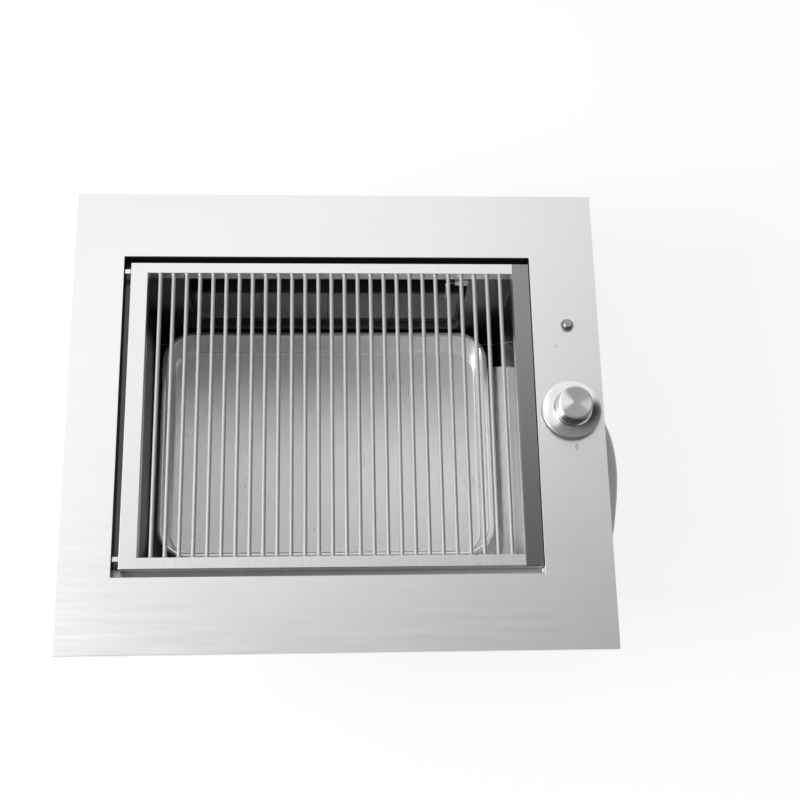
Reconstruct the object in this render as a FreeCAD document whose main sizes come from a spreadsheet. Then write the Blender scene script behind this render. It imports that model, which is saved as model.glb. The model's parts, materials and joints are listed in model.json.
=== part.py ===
import FreeCAD, Part
import Sketcher
import math
import os

# A drop-in gas grill for a worktop: a wide steel rim plate, a deep firebox below it, a wire grate,
# a drip tray, a rear radiant burner, and a gas valve and igniter under the right-hand band.
# Millimetres. X to the right, Y to the back, Z up. The origin lies under the middle of the rim
# plate, on the surface that the firebox stands on.

os.makedirs("parts", exist_ok=True)
Vector = FreeCAD.Vector
doc = FreeCAD.newDocument("gas_grill")
sheet = doc.addObject("Spreadsheet::Sheet", "dims")


class Size:
    """A length that carries its number and the sheet formula that gives it."""

    def __init__(self, number, text):
        self.number = float(number)
        self.text = text

    def joined(self, other, sign, number):
        return Size(number, f"({self.text} {sign} {size(other).text})")

    def __add__(self, other):
        return self.joined(other, "+", self.number + size(other).number)

    def __radd__(self, other):
        return size(other) + self

    def __sub__(self, other):
        return self.joined(other, "-", self.number - size(other).number)

    def __rsub__(self, other):
        return size(other) - self

    def __mul__(self, other):
        return self.joined(other, "*", self.number * size(other).number)

    def __rmul__(self, other):
        return size(other) * self

    def __truediv__(self, other):
        return self.joined(other, "/", self.number / size(other).number)

    def whole(self):
        return Size(math.floor(self.number), f"floor({self.text})")

    def __neg__(self):
        return Size(-self.number, f"(-{self.text})")

    def __float__(self):
        return self.number


def size(value):
    """The value as a Size, whether it is one already or a plain number."""
    if isinstance(value, Size):
        return value
    return Size(value, f"({float(value):.9g})")


# Driving dimensions

# Rim plate
plate_width = 520
plate_depth = 462
plate_top = 216
plate_thick = 1.5
edge_drop = 8
band_left = 49
band_right = 66
band_front = 71
band_back = 68.5

# Seal under the rim
seal_width = 10
seal_proud = 0.5
seal_gap = 0.4

# Firebox
box_sheet = 1
collar_depth = 16
ledge_width = 12
box_flange = 14
window_margin = 45.5
window_low = 46
window_drop = 13

# Grate
grate_gap_left = 6.5
grate_gap_right = 0.6
grate_gap_front = 8
grate_gap_back = 6
grate_drop = 2
side_bar_width = 17
end_bar_width = 11
bar_wall = 1.5
rod_radius = 2
rod_pitch = 13.05
rod_side_gap = 8
rod_drop = 1
tab_width = 5
tab_thick = 3
tab_inset = 7

# Drip tray
tray_gap_left = 8
tray_gap_right = 11.5
tray_gap_back = 2
tray_depth = 256
tray_height = 40
tray_wall = 0.8
tray_rim = 6
tray_rim_drop = 3
tray_slope = 4
tray_corner = 34
tray_curve = 5

# Rear burner and its housing
housing_depth = 54
housing_flange = 12
burner_set_back = 2
burner_gap = 2
burner_tall = 82
burner_drop = 38
burner_sheet = 1
burner_frame_lip = 4
burner_plenum = 25
tile_thick = 12
tile_gap = 0.5
tile_count = 4
plenum_inset = 6
foot_width = 20
foot_inset = 3

# Mixing tube, air shutter and injector
mixer_radius = 11
mixer_wall = 1
mixer_length = 40
air_slot_length = 14
air_slot_width = 9
air_slot_start = 12
shutter_wall = 1
injector_radius = 4
injector_hex = 12

# Gas pipe and its nuts
pipe_radius = 4
pipe_bend = 14
pipe_nut_flats = 14
pipe_nut_length = 11
nipple_radius = 4.6
nipple_length = 7

# Gas valve, stem and knob
knob_from_edge = 32.5
knob_from_middle = 0
valve_drop = 58
valve_radius = 14
valve_tall = 34
valve_bore = 7
valve_port = 8
valve_reach = 26
gas_way = 2.5
lug_reach = 23
lug_width = 20
lug_thick = 6
bonnet_thick = 3
plug_tall = 12
running_gap = 0.06
body_gap = 0.3
stem_radius = 4
stem_collar = 3
stem_shank = 2.8
tang_width = 5.6
tang_thick = 3
tang_into_plug = 3.5
slot_depth = 7.5
push_travel = 2.8
knob_spring_wire = 0.45
spring_side_gap = 1.2
spring_end_gap = 0.1
knob_radius = 29
knob_top_radius = 16.5
knob_height = 28
knob_gap = 3.5
knob_wall = 2.5
knob_skirt = 3
hub_radius = 8
set_screw_radius = 2

# Bracket that hangs the valve from the rim plate
bracket_width = 24
bracket_sheet = 2
bracket_reach = 30
bracket_foot = 16
stud_radius = 2
stud_length = 9
nut_flats = 7
nut_thick = 3.2
screw_radius = 1.5
screw_head = 2.8
screw_head_tall = 2
screw_gap = 0.1

# Push-button igniter
button_from_edge = 31.2
button_back = 89.3
button_radius = 4.4
button_proud = 5
button_travel = 4
collar_radius = 6.5
collar_rise = 1
thread_radius = 5.5
thread_length = 10
igniter_radius = 8
igniter_tall = 42
igniter_wall = 1.5
igniter_nut_flats = 16
terminal_radius = 1.5
terminal_length = 6
striker_drop = 19
button_spring_wire = 0.5

# Electrode and its lead
electrode_radius = 3
electrode_inside = 12
electrode_outside = 20
electrode_rise = 9
electrode_rod = 1
spark_gap = 2
lead_radius = 1.6

# Heat shield between the firebox and the valve
shield_offset = 5
shield_front = 70
shield_back = 118
shield_low = 70
shield_sheet = 1
shield_top_width = 8

# Gas hose and its fittings
hose_radius = 6
union_flats = 19
union_length = 12
nose_radius = 8
nose_length = 12
hose_nut_flats = 24
hose_nut_length = 18
ferrule_radius = 7.75
ferrule_length = 26
coil_radius = 62
coil_gap = 0.6
coil_step = 13
coil_x = 205
coil_y = 229
tie_thick = 0.8
tie_width = 8
tie_gap = 0.4
tie_floor_gap = 0.2

# Each number above also goes into the sheet under its own name, and from here on it is a Size
# that carries the formula of its cell.
numbers = {name: value for name, value in globals().items() if isinstance(value, (int, float))}
for row, (name, value) in enumerate(numbers.items(), start=1):
    sheet.set(f"A{row}", name)
    sheet.set(f"B{row}", str(value))
    sheet.setAlias(f"B{row}", name)
    globals()[name] = Size(value, f"dims.{name}")


# Places worked out from the driving dimensions

plate_under = plate_top - plate_thick
plate_right = plate_width / 2
plate_back = plate_depth / 2
open_left = band_left - plate_right
open_right = plate_right - band_right
open_front = band_front - plate_back
open_back = plate_back - band_back
ledge_top = plate_top - collar_depth
cave_left = open_left + ledge_width
cave_right = open_right - ledge_width
cave_front = open_front + ledge_width
cave_back = open_back - ledge_width
cave_middle = (cave_left + cave_right) / 2
wall_back = cave_back + box_sheet
wall_right = cave_right + box_sheet
window_left = cave_left + window_margin
window_right = cave_right - window_margin
window_top = ledge_top - window_drop

grate_left = open_left + grate_gap_left
grate_right = open_right - grate_gap_right
grate_front = open_front + grate_gap_front
grate_back = open_back - grate_gap_back
grate_top = plate_top - grate_drop
grate_under = ledge_top + body_gap
grate_middle = (grate_left + grate_right) / 2
rod_level = grate_top - rod_drop - rod_radius
rod_room = grate_right - grate_left - (side_bar_width + rod_side_gap + rod_radius) * 2
rod_count = (rod_room / rod_pitch).whole() + 1

tray_left = cave_left + tray_gap_left
tray_right = cave_right - tray_gap_right
tray_back = cave_back - tray_gap_back
tray_front = tray_back - tray_depth
tray_under = box_sheet + body_gap
tray_top = tray_under + tray_height

housing_back = wall_back + housing_depth
burner_left = window_left + burner_gap
burner_right = window_right - burner_gap
burner_front = cave_back + burner_set_back + burner_sheet
burner_top = window_top - burner_drop
burner_low = burner_top - burner_tall
burner_level = (burner_low + burner_top) / 2
tile_bed = burner_front + tile_thick + body_gap
burner_back = tile_bed + burner_plenum
mixer_y = (tile_bed + burner_sheet + burner_back) / 2
mixer_start = burner_right - plenum_inset
mixer_end = window_right + box_sheet + mixer_length

knob_x = plate_right - knob_from_edge
knob_y = knob_from_middle
port_level = plate_top - valve_drop
valve_low = port_level - valve_tall / 2
valve_top = port_level + valve_tall / 2
bonnet_top = valve_top + bonnet_thick
plug_low = valve_low + bonnet_thick
plug_top = plug_low + plug_tall
stem_rest = valve_top - body_gap
collar_low = stem_rest - stem_collar
knob_low = plate_top + knob_gap
knob_top = plate_top + knob_height
bracket_top = bonnet_top + bracket_sheet
lug_screw = (valve_radius + lug_reach) / 2
stud_reach = bracket_reach + bracket_foot / 2
set_screw_level = knob_low + knob_skirt + set_screw_radius

button_x = plate_right - button_from_edge
button_y = button_back
button_top = plate_top + collar_rise + button_proud
thread_low = plate_top - thread_length
igniter_low = thread_low - igniter_tall

button_foot = thread_low - igniter_wall - body_gap
striker_top = button_foot - striker_drop

shield_left = wall_right + ledge_width + shield_offset
electrode_y = (burner_front + tile_bed) / 2
electrode_level = burner_top + electrode_rise
pipe_end_x = mixer_end + injector_radius * 2 + nipple_length

hex_share = 1 / math.sqrt(3)
near_ferrule_y = knob_y - valve_reach - union_length - body_gap - hose_nut_length
hose_start_y = near_ferrule_y - ferrule_length
coil_low = hose_radius + tie_thick + tie_gap + tie_floor_gap
coil_high = coil_low + hose_radius * 2 + coil_gap
coil_end_level = coil_low + hose_radius + hose_nut_flats * hex_share + tie_gap
coil_start_x = coil_x + coil_radius + coil_step * 5 / 4
coil_end_x = coil_x + coil_radius + coil_step * 3 / 4


# Small helpers for objects, sketches and features

def bind(thing, name, value):
    """Tie one property of an object to the sheet."""
    thing.setExpression(name, size(value).text)


def place(thing, x=0, y=0, z=0, rotation=None):
    """Set where an object stands, with its place tied to the sheet."""
    if rotation is not None:
        thing.Placement = FreeCAD.Placement(Vector(0, 0, 0), rotation)
    for axis, value in zip("xyz", (x, y, z)):
        bind(thing, f"Placement.Base.{axis}", value)
    return thing


def new_body(label, many=False):
    """A part-design body that a sub-part is built in."""
    body = doc.addObject("PartDesign::Body", label)
    body.Label = label
    body.AllowCompound = many
    return body


def origin_feature(body, role):
    return next(f for f in body.Origin.OriginFeatures if f.Role == role)


class Drawing:
    """A sketch on one of a body's origin planes, its points held by sizes from the sheet."""

    def __init__(self, body, role="XY_Plane", level=0):
        self.sketch = body.newObject("Sketcher::SketchObject", body.Label + "_sketch")
        self.sketch.AttachmentSupport = [(origin_feature(body, role), "")]
        self.sketch.MapMode = "FlatFace"
        bind(self.sketch, "AttachmentOffset.Base.z", level)

    def hold(self, kind, geometry, point, value):
        """Hold a point's distance from the sketch origin, along X or along Y."""
        if abs(size(value).number) < 1e-9:
            axis = -2 if kind == "DistanceX" else -1
            self.sketch.addConstraint(Sketcher.Constraint("PointOnObject", geometry, point, axis))
            return
        held = Sketcher.Constraint(kind, -1, 1, geometry, point, size(value).number)
        index = self.sketch.addConstraint(held)
        self.sketch.setExpression(f"Constraints[{index}]", size(value).text)

    def pin(self, geometry, point, x, y):
        self.hold("DistanceX", geometry, point, x)
        self.hold("DistanceY", geometry, point, y)

    def radius(self, geometry, value):
        index = self.sketch.addConstraint(Sketcher.Constraint("Radius", geometry, float(value)))
        self.sketch.setExpression(f"Constraints[{index}]", size(value).text)

    def polygon(self, points):
        """A closed outline of straight lines through the points."""
        first = self.sketch.GeometryCount
        corners = [Vector(float(x), float(y), 0) for x, y in points]
        for start, end in zip(corners, corners[1:] + corners[:1]):
            self.sketch.addGeometry(Part.LineSegment(start, end), False)
        count = len(points)
        for index in range(count):
            joined = (first + index, 2, first + (index + 1) % count, 1)
            self.sketch.addConstraint(Sketcher.Constraint("Coincident", *joined))
        for index, (x, y) in enumerate(points):
            self.pin(first + index, 1, x, y)
        return self

    def rectangle(self, x0, y0, x1, y1):
        return self.polygon([(x0, y0), (x1, y0), (x1, y1), (x0, y1)])

    def hexagon(self, flats, x=0, y=0):
        """A regular hexagon with two of its flats upright."""
        reach = size(flats) * hex_share
        corners = []
        for index in range(6):
            angle = math.radians(30 + 60 * index)
            across = round(math.cos(angle), 9)
            along = round(math.sin(angle), 9)
            corners.append((size(x) + reach * across, size(y) + reach * along))
        return self.polygon(corners)

    def circle(self, x, y, radius):
        middle = Vector(float(size(x)), float(size(y)), 0)
        circle = Part.Circle(middle, Vector(0, 0, 1), float(size(radius)))
        geometry = self.sketch.addGeometry(circle, False)
        self.pin(geometry, 3, x, y)
        self.radius(geometry, size(radius))
        return self

    def rounded(self, x0, y0, x1, y1, radius):
        """A rectangle whose corners are quarter circles."""
        bend = size(radius)
        centres = [(x1 - bend, y1 - bend), (x0 + bend, y1 - bend)]
        centres += [(x0 + bend, y0 + bend), (x1 - bend, y0 + bend)]
        arcs = []
        for index, (x, y) in enumerate(centres):
            circle = Part.Circle(Vector(float(x), float(y), 0), Vector(0, 0, 1), float(bend))
            start = math.radians(90 * index)
            arc = Part.ArcOfCircle(circle, start, start + math.pi / 2)
            arcs.append(self.sketch.addGeometry(arc, False))
        for index, (x, y) in enumerate(centres):
            next_x, next_y = centres[(index + 1) % 4]
            end = math.radians(90 * index + 90)
            step = Vector(math.cos(end), math.sin(end), 0) * float(bend)
            start_point = Vector(float(x), float(y), 0) + step
            end_point = Vector(float(next_x), float(next_y), 0) + step
            side = self.sketch.addGeometry(Part.LineSegment(start_point, end_point), False)
            after = arcs[(index + 1) % 4]
            self.sketch.addConstraint(Sketcher.Constraint("Tangent", arcs[index], 2, side, 1))
            self.sketch.addConstraint(Sketcher.Constraint("Tangent", side, 2, after, 1))
        for arc, (x, y) in zip(arcs, centres):
            self.pin(arc, 3, x, y)
            self.radius(arc, bend)
        return self


def pad(body, drawing, length, reverse=False):
    """Add material from a drawing, along its plane's normal unless it is reversed."""
    feature = body.newObject("PartDesign::Pad", body.Label + "_pad")
    feature.Profile = drawing.sketch
    feature.Reversed = reverse
    bind(feature, "Length", length)
    return feature


def pocket(body, drawing, length, reverse=False):
    """Cut a drawing out of the body, against its plane's normal unless it is reversed."""
    doc.recompute()
    before = body.Shape.Volume
    feature = body.newObject("PartDesign::Pocket", body.Label + "_pocket")
    feature.Profile = drawing.sketch
    feature.Reversed = reverse
    bind(feature, "Length", length)
    doc.recompute()
    if not body.Shape.Volume < before - 1e-6:
        raise ValueError(f"a pocket of {body.Label} cuts nothing")
    return feature


def revolve(body, points):
    """Turn an outline of (radius, height) points about the body's own upright axis."""
    drawing = Drawing(body, "XZ_Plane").polygon(points)
    feature = body.newObject("PartDesign::Revolution", body.Label + "_revolution")
    feature.Profile = drawing.sketch
    feature.ReferenceAxis = (drawing.sketch, ["V_Axis"])
    feature.Angle = 360
    return feature


def repeat(body, feature, role, length, count):
    """Copy a feature along one of the body's axes; length reaches from the first to the last."""
    pattern = body.newObject("PartDesign::LinearPattern", body.Label + "_pattern")
    pattern.Originals = [feature]
    pattern.Direction = (origin_feature(body, role), [""])
    bind(pattern, "Length", length)
    bind(pattern, "Occurrences", count)
    body.Tip = pattern
    return pattern


def block(name, x0, y0, z0, x1, y1, z1):
    """A plain box between two corners."""
    box = doc.addObject("Part::Box", name)
    bind(box, "Length", size(x1) - x0)
    bind(box, "Width", size(y1) - y0)
    bind(box, "Height", size(z1) - z0)
    return place(box, x0, y0, z0)


def rod(name, x, y, z, radius, length, rotation=None):
    """A plain cylinder that starts at a point; upright unless it is turned."""
    cylinder = doc.addObject("Part::Cylinder", name)
    bind(cylinder, "Radius", radius)
    bind(cylinder, "Height", length)
    return place(cylinder, x, y, z, rotation)


def fused(label, pieces):
    joined = doc.addObject("Part::MultiFuse", label)
    joined.Label = label
    joined.Shapes = pieces
    return joined


def grouped(label, pieces):
    """Separate solids of one kind, kept together as one sub-part."""
    group = doc.addObject("Part::Compound", label)
    group.Label = label
    group.Links = pieces
    return group


ALONG_X = FreeCAD.Rotation(Vector(0, 1, 0), 90)
ALONG_Y = FreeCAD.Rotation(Vector(1, 0, 0), -90)
AGAINST_X = FreeCAD.Rotation(Vector(0, 1, 0), -90)
AGAINST_Y = FreeCAD.Rotation(Vector(1, 0, 0), 90)


# Rim plate, seal and firebox

def make_top_plate():
    """The rim plate: one sheet with its edges folded down, an opening, and two round holes."""
    body = new_body("top_plate")
    outline = (-plate_right, -plate_back, plate_right, plate_back)
    skirt = plate_thick
    inner = (skirt - plate_right, skirt - plate_back, plate_right - skirt, plate_back - skirt)
    pad(body, Drawing(body, level=plate_top - edge_drop).rectangle(*outline), edge_drop)
    pocket(body, Drawing(body, level=plate_under).rectangle(*inner), edge_drop)
    opening = Drawing(body, level=plate_top)
    opening.rectangle(open_left, open_front, open_right, open_back)
    opening.circle(knob_x, knob_y, stem_radius + 2)
    opening.circle(button_x, button_y, thread_radius + screw_gap * 2)
    pocket(body, opening, plate_thick)
    return body


def make_rim_seal():
    """Four strips of sealing foam that sit inside the folded edges, on the worktop."""
    right = plate_right - plate_thick - seal_gap
    back = plate_back - plate_thick - seal_gap
    low = plate_top - edge_drop - seal_proud
    top = plate_under
    inner_back = back - seal_width - seal_gap
    strips = [
        block("seal_front", -right, -back, low, right, seal_width - back, top),
        block("seal_rear", -right, back - seal_width, low, right, back, top),
        block("seal_left", -right, -inner_back, low, seal_width - right, inner_back, top),
        block("seal_right", right - seal_width, -inner_back, low, right, inner_back, top),
    ]
    return grouped("rim_seal", strips)


def make_firebox():
    """The firebox: a deep folded box with a stepped collar, a weld flange and a rear window."""
    body = new_body("firebox")
    wall = box_sheet
    lower = (cave_left - wall, cave_front - wall, wall_right, wall_back)
    collar = (open_left - wall, open_front - wall, open_right + wall, open_back + wall)
    spread = wall + box_flange
    flange = (open_left - spread, open_front - spread, open_right + spread, open_back + spread)
    pad(body, Drawing(body).rectangle(*lower), ledge_top)
    collar_low = ledge_top - wall
    pad(body, Drawing(body, level=collar_low).rectangle(*collar), plate_under - collar_low)
    pad(body, Drawing(body, level=plate_under - wall).rectangle(*flange), wall)
    opening = Drawing(body, level=plate_under)
    opening.rectangle(open_left, open_front, open_right, open_back)
    pocket(body, opening, plate_under - ledge_top)
    cave = Drawing(body, level=ledge_top)
    cave.rectangle(cave_left, cave_front, cave_right, cave_back)
    pocket(body, cave, ledge_top - wall)
    window = Drawing(body, "XZ_Plane", level=-cave_back)
    window.rectangle(window_left, window_low, window_right, window_top)
    pocket(body, window, wall)
    return body


# Grate and drip tray

def channel(body, x0, y0, x1, y1, along):
    """One bar of the grate: a folded channel with its open side down."""
    pad(body, Drawing(body, level=grate_under).rectangle(x0, y0, x1, y1), grate_top - grate_under)
    wall = bar_wall
    inside = Drawing(body, level=grate_under)
    if along == "X":
        inside.rectangle(x0, y0 + wall, x1, y1 - wall)
    else:
        inside.rectangle(x0 + wall, y0 + wall, x1 - wall, y1 - wall)
    pocket(body, inside, grate_top - grate_under - wall, reverse=True)


def make_grate_frame():
    """Two wide side bars with two narrower end bars welded between them."""
    inner_left = grate_left + side_bar_width
    inner_right = grate_right - side_bar_width
    pieces = []
    for name, x0, x1 in (("left", grate_left, inner_left), ("right", inner_right, grate_right)):
        side = new_body(f"grate_side_{name}")
        channel(side, x0, grate_front, x1, grate_back, "Y")
        pieces.append(side)
    front_inner = grate_front + end_bar_width
    back_inner = grate_back - end_bar_width
    for name, y0, y1 in (("front", grate_front, front_inner), ("rear", back_inner, grate_back)):
        end = new_body(f"grate_end_{name}")
        channel(end, inner_left, y0, inner_right, y1, "X")
        pieces.append(end)
    return fused("grate_frame", pieces)


def make_grate_rods():
    """The straight rods that carry the food, welded between the two end bars."""
    body = new_body("grate_rods", many=True)
    half_run = rod_pitch * (rod_count - 1) / 2
    start = grate_front + end_bar_width
    end = grate_back - end_bar_width
    drawing = Drawing(body, "XZ_Plane", level=-start)
    drawing.circle(grate_middle - half_run, rod_level, rod_radius)
    first = pad(body, drawing, end - start, reverse=True)
    repeat(body, first, "X_Axis", rod_pitch * (rod_count - 1), rod_count)
    return body


def make_grate_tabs():
    """Two small lugs on the left bar that keep the grate from sliding to the left."""
    pieces = []
    top = grate_top - tab_thick
    for name, y in (("front", grate_front + tab_inset), ("rear", grate_back - tab_inset - tab_width)):
        start = open_left + body_gap * 2
        pieces.append(block(f"tab_{name}", start, y, top, grate_left, y + tab_width, grate_top))
    return grouped("grate_tabs", pieces)


def tray_sections(inset, low, corner):
    """Heights and insets of the tray wall, from its floor curve up to its rim."""
    sections = []
    for angle in (0, 30, 60, 90):
        turn = math.radians(angle)
        rise = tray_curve * (1 - math.cos(turn))
        pull = tray_curve * (1 - math.sin(turn))
        sections.append((low + rise, inset + tray_slope + pull, corner))
    sections.append((tray_top, inset, corner))
    return sections


def tray_tub(body, kind, inset, low):
    """A tub whose wall curves out of its floor and leans outwards up to the rim."""
    profiles = []
    for level, pull, corner in tray_sections(inset, low, tray_corner):
        drawing = Drawing(body, level=level)
        drawing.rounded(tray_left + pull, tray_front + pull, tray_right - pull, tray_back - pull,
                        corner - pull)
        profiles.append(drawing.sketch)
    doc.recompute()
    before = body.Shape.Volume if body.Tip else 0
    feature = body.newObject(kind, body.Label + "_tub")
    feature.Profile = profiles[0]
    feature.Sections = profiles[1:]
    feature.Ruled = True
    doc.recompute()
    if abs(body.Shape.Volume - before) < 1e-6:
        raise ValueError("a tub of the tray changes nothing")
    return feature


def make_drip_tray():
    """A deep-drawn tray with a flat rim that turns down at its edge."""
    body = new_body("drip_tray")
    outline = (tray_left, tray_front, tray_right, tray_back)
    tray_tub(body, "PartDesign::AdditiveLoft", tray_rim - tray_wall, tray_under)
    lip_low = tray_top - tray_rim_drop
    pad(body, Drawing(body, level=lip_low).rounded(*outline, tray_corner), tray_rim_drop)
    wall = tray_wall
    hollow = Drawing(body, level=lip_low)
    hollow.rounded(tray_left + wall, tray_front + wall, tray_right - wall, tray_back - wall,
                   tray_corner - wall)
    pull = tray_rim - wall
    hollow.rounded(tray_left + pull, tray_front + pull, tray_right - pull, tray_back - pull,
                   tray_corner - pull)
    pocket(body, hollow, tray_rim_drop - wall, reverse=True)
    tray_tub(body, "PartDesign::SubtractiveLoft", tray_rim, tray_under + wall)
    return body


# Rear burner

def make_burner_housing():
    """The shallow box behind the rear window, with a flange that is screwed to the firebox."""
    body = new_body("burner_housing")
    wall = box_sheet
    outer = (window_left - wall, window_low - wall, window_right + wall, window_top + wall)
    spread = housing_flange
    flange = (window_left - spread, window_low - spread, window_right + spread, window_top + spread)
    pad(body, Drawing(body, "XZ_Plane", level=-wall_back).rectangle(*outer), housing_depth,
        reverse=True)
    pad(body, Drawing(body, "XZ_Plane", level=-wall_back).rectangle(*flange), wall, reverse=True)
    inside = Drawing(body, "XZ_Plane", level=-wall_back)
    inside.rectangle(window_left, window_low, window_right, window_top)
    pocket(body, inside, housing_depth - wall)
    side = Drawing(body, "YZ_Plane", level=window_right + wall)
    side.circle(mixer_y, burner_level, mixer_radius + burner_gap)
    side.circle(electrode_y, electrode_level, electrode_radius + screw_gap)
    pocket(body, side, wall)
    vents = Drawing(body, "XZ_Plane", level=wall - housing_back)
    low = window_low + housing_flange
    for index in range(6):
        left = window_left + (window_right - window_left) * (index + 0.5) / 6 - housing_flange
        vents.rectangle(left, low, left + housing_flange * 2, low + burner_gap * 2)
    pocket(body, vents, wall)
    return body


def make_burner_body():
    """The burner's pressed tray: a seat for the tiles in front and a mixing chamber behind."""
    body = new_body("burner_body")
    wall = burner_sheet
    inset = plenum_inset
    front = (burner_left, burner_low, burner_right, burner_top)
    seat_depth = tile_bed - burner_front
    pad(body, Drawing(body, "XZ_Plane", level=-burner_front).rectangle(*front),
        seat_depth + wall, reverse=True)
    chamber = (burner_left + inset, burner_low + inset, burner_right - inset, burner_top - inset)
    pad(body, Drawing(body, "XZ_Plane", level=-burner_front).rectangle(*chamber),
        burner_back - burner_front, reverse=True)
    seat = Drawing(body, "XZ_Plane", level=-burner_front)
    seat.rectangle(burner_left + wall, burner_low + wall, burner_right - wall, burner_top - wall)
    pocket(body, seat, seat_depth)
    inner = inset + wall
    hollow = Drawing(body, "XZ_Plane", level=-tile_bed)
    hollow.rectangle(burner_left + inner, burner_low + inner, burner_right - inner,
                     burner_top - inner)
    pocket(body, hollow, burner_plenum - wall)
    inlet = Drawing(body, "YZ_Plane", level=burner_right - inset)
    inlet.circle(mixer_y, burner_level, mixer_radius)
    pocket(body, inlet, wall)
    return body


def make_burner_tiles():
    """The ceramic tiles that glow, side by side in the burner's front."""
    body = new_body("burner_tiles", many=True)
    wall = burner_sheet
    room = burner_right - burner_left - wall * 2
    tile_width = (room - tile_gap) / tile_count - tile_gap
    left = burner_left + wall + tile_gap
    low = burner_low + wall + tile_gap
    top = burner_top - wall - tile_gap
    front = burner_front + body_gap
    drawing = Drawing(body, "XZ_Plane", level=-front)
    drawing.rectangle(left, low, left + tile_width, top)
    first = pad(body, drawing, tile_thick, reverse=True)
    pitch = tile_width + tile_gap
    repeat(body, first, "X_Axis", pitch * (tile_count - 1), tile_count)
    return body


def make_burner_frame():
    """The sheet frame that holds the tiles in by their edges."""
    body = new_body("burner_frame")
    lip = burner_frame_lip
    outline = Drawing(body, "XZ_Plane", level=-burner_front)
    outline.rectangle(burner_left, burner_low, burner_right, burner_top)
    outline.rectangle(burner_left + lip, burner_low + lip, burner_right - lip, burner_top - lip)
    pad(body, outline, burner_sheet)
    return body


def make_burner_feet():
    """Two Z-shaped feet that carry the burner from the housing's back wall."""
    body = new_body("burner_feet", many=True)
    wall = burner_sheet
    inner_back = housing_back - box_sheet
    feet = Drawing(body, "XY_Plane", level=burner_level - foot_width / 2)
    for side, end in ((-1, burner_left + foot_inset), (1, burner_right - foot_inset)):
        middle = end - foot_width * 2 * side
        out = foot_width * side
        step = wall * side
        feet.polygon([
            (middle, burner_back),
            (middle + out, burner_back),
            (middle + out, inner_back - wall),
            (middle + out * 2, inner_back - wall),
            (middle + out * 2, inner_back),
            (middle + out - step, inner_back),
            (middle + out - step, burner_back + wall),
            (middle, burner_back + wall),
        ])
    pad(body, feet, foot_width)
    return body


def make_housing_screws():
    """Small screws through the housing's flange into the firebox's rear wall."""
    pieces = []
    side_reach = housing_flange / 2
    levels = (window_low - side_reach, (window_low + window_top) / 2, window_top + side_reach)
    columns = (window_left - side_reach, window_right + side_reach)
    flange_back = wall_back + box_sheet
    for column, x in enumerate(columns):
        for row, z in enumerate(levels):
            name = f"housing_screw_{column}_{row}"
            pieces.append(rod(name, x, flange_back, z, screw_head, screw_head_tall, ALONG_Y))
    return grouped("housing_screws", pieces)


def make_mixing_tube():
    """The tube where gas draws in air: a sleeve with four air slots and a closed outer end."""
    body = new_body("mixing_tube")
    place(body, mixer_start, mixer_y, burner_level, ALONG_X)
    length = mixer_end - mixer_start
    start = -burner_sheet
    end_wall = mixer_wall * 2
    inner = mixer_radius - mixer_wall
    collar = mixer_radius + mixer_wall * 0.8
    revolve(body, [
        (inner, start), (mixer_radius, start), (mixer_radius, 0), (collar, 0),
        (collar, mixer_wall), (mixer_radius, mixer_wall), (mixer_radius, length),
        (injector_radius + screw_gap, length), (injector_radius + screw_gap, length - end_wall),
        (inner, length - end_wall),
    ])
    slot_low = window_right + box_sheet - mixer_start + air_slot_start
    half = air_slot_width / 2
    for role in ("XZ_Plane", "YZ_Plane"):
        slots = Drawing(body, role, level=-mixer_radius * 2)
        slots.rectangle(-half, slot_low, half, slot_low + air_slot_length)
        pocket(body, slots, mixer_radius * 4, reverse=True)
    return body


def make_air_shutter():
    """A ring that turns on the mixing tube and opens or closes its air slots."""
    body = new_body("air_shutter")
    place(body, window_right + box_sheet, mixer_y, burner_level, ALONG_X)
    margin = air_slot_start / 4
    low = air_slot_start - margin
    high = air_slot_start + air_slot_length + margin
    bore = mixer_radius + running_gap
    outer = bore + shutter_wall
    lip = outer + shutter_wall
    revolve(body, [
        (bore, low), (outer, low), (outer, high - shutter_wall), (lip, high - shutter_wall),
        (lip, high), (bore, high),
    ])
    half = air_slot_width / 2
    top = air_slot_start + air_slot_length
    for role in ("XZ_Plane", "YZ_Plane"):
        slots = Drawing(body, role, level=-mixer_radius * 2)
        slots.rectangle(-half, air_slot_start, half, top)
        pocket(body, slots, mixer_radius * 4, reverse=True)
    return body


def make_injector():
    """The brass injector: a nozzle in the mixing tube's end, a hexagon, and a pipe nipple."""
    body = new_body("gas_injector")
    place(body, mixer_end, mixer_y, burner_level, ALONG_X)
    hex_length = injector_radius * 2
    pad(body, Drawing(body).hexagon(injector_hex), hex_length)
    nozzle = Drawing(body).circle(0, 0, injector_radius)
    pad(body, nozzle, mixer_wall * 6, reverse=True)
    tail = Drawing(body, level=hex_length).circle(0, 0, nipple_radius)
    pad(body, tail, nipple_length)
    way = Drawing(body, level=hex_length + nipple_length).circle(0, 0, gas_way / 2)
    pocket(body, way, hex_length + nipple_length + mixer_wall * 6)
    return body


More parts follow.
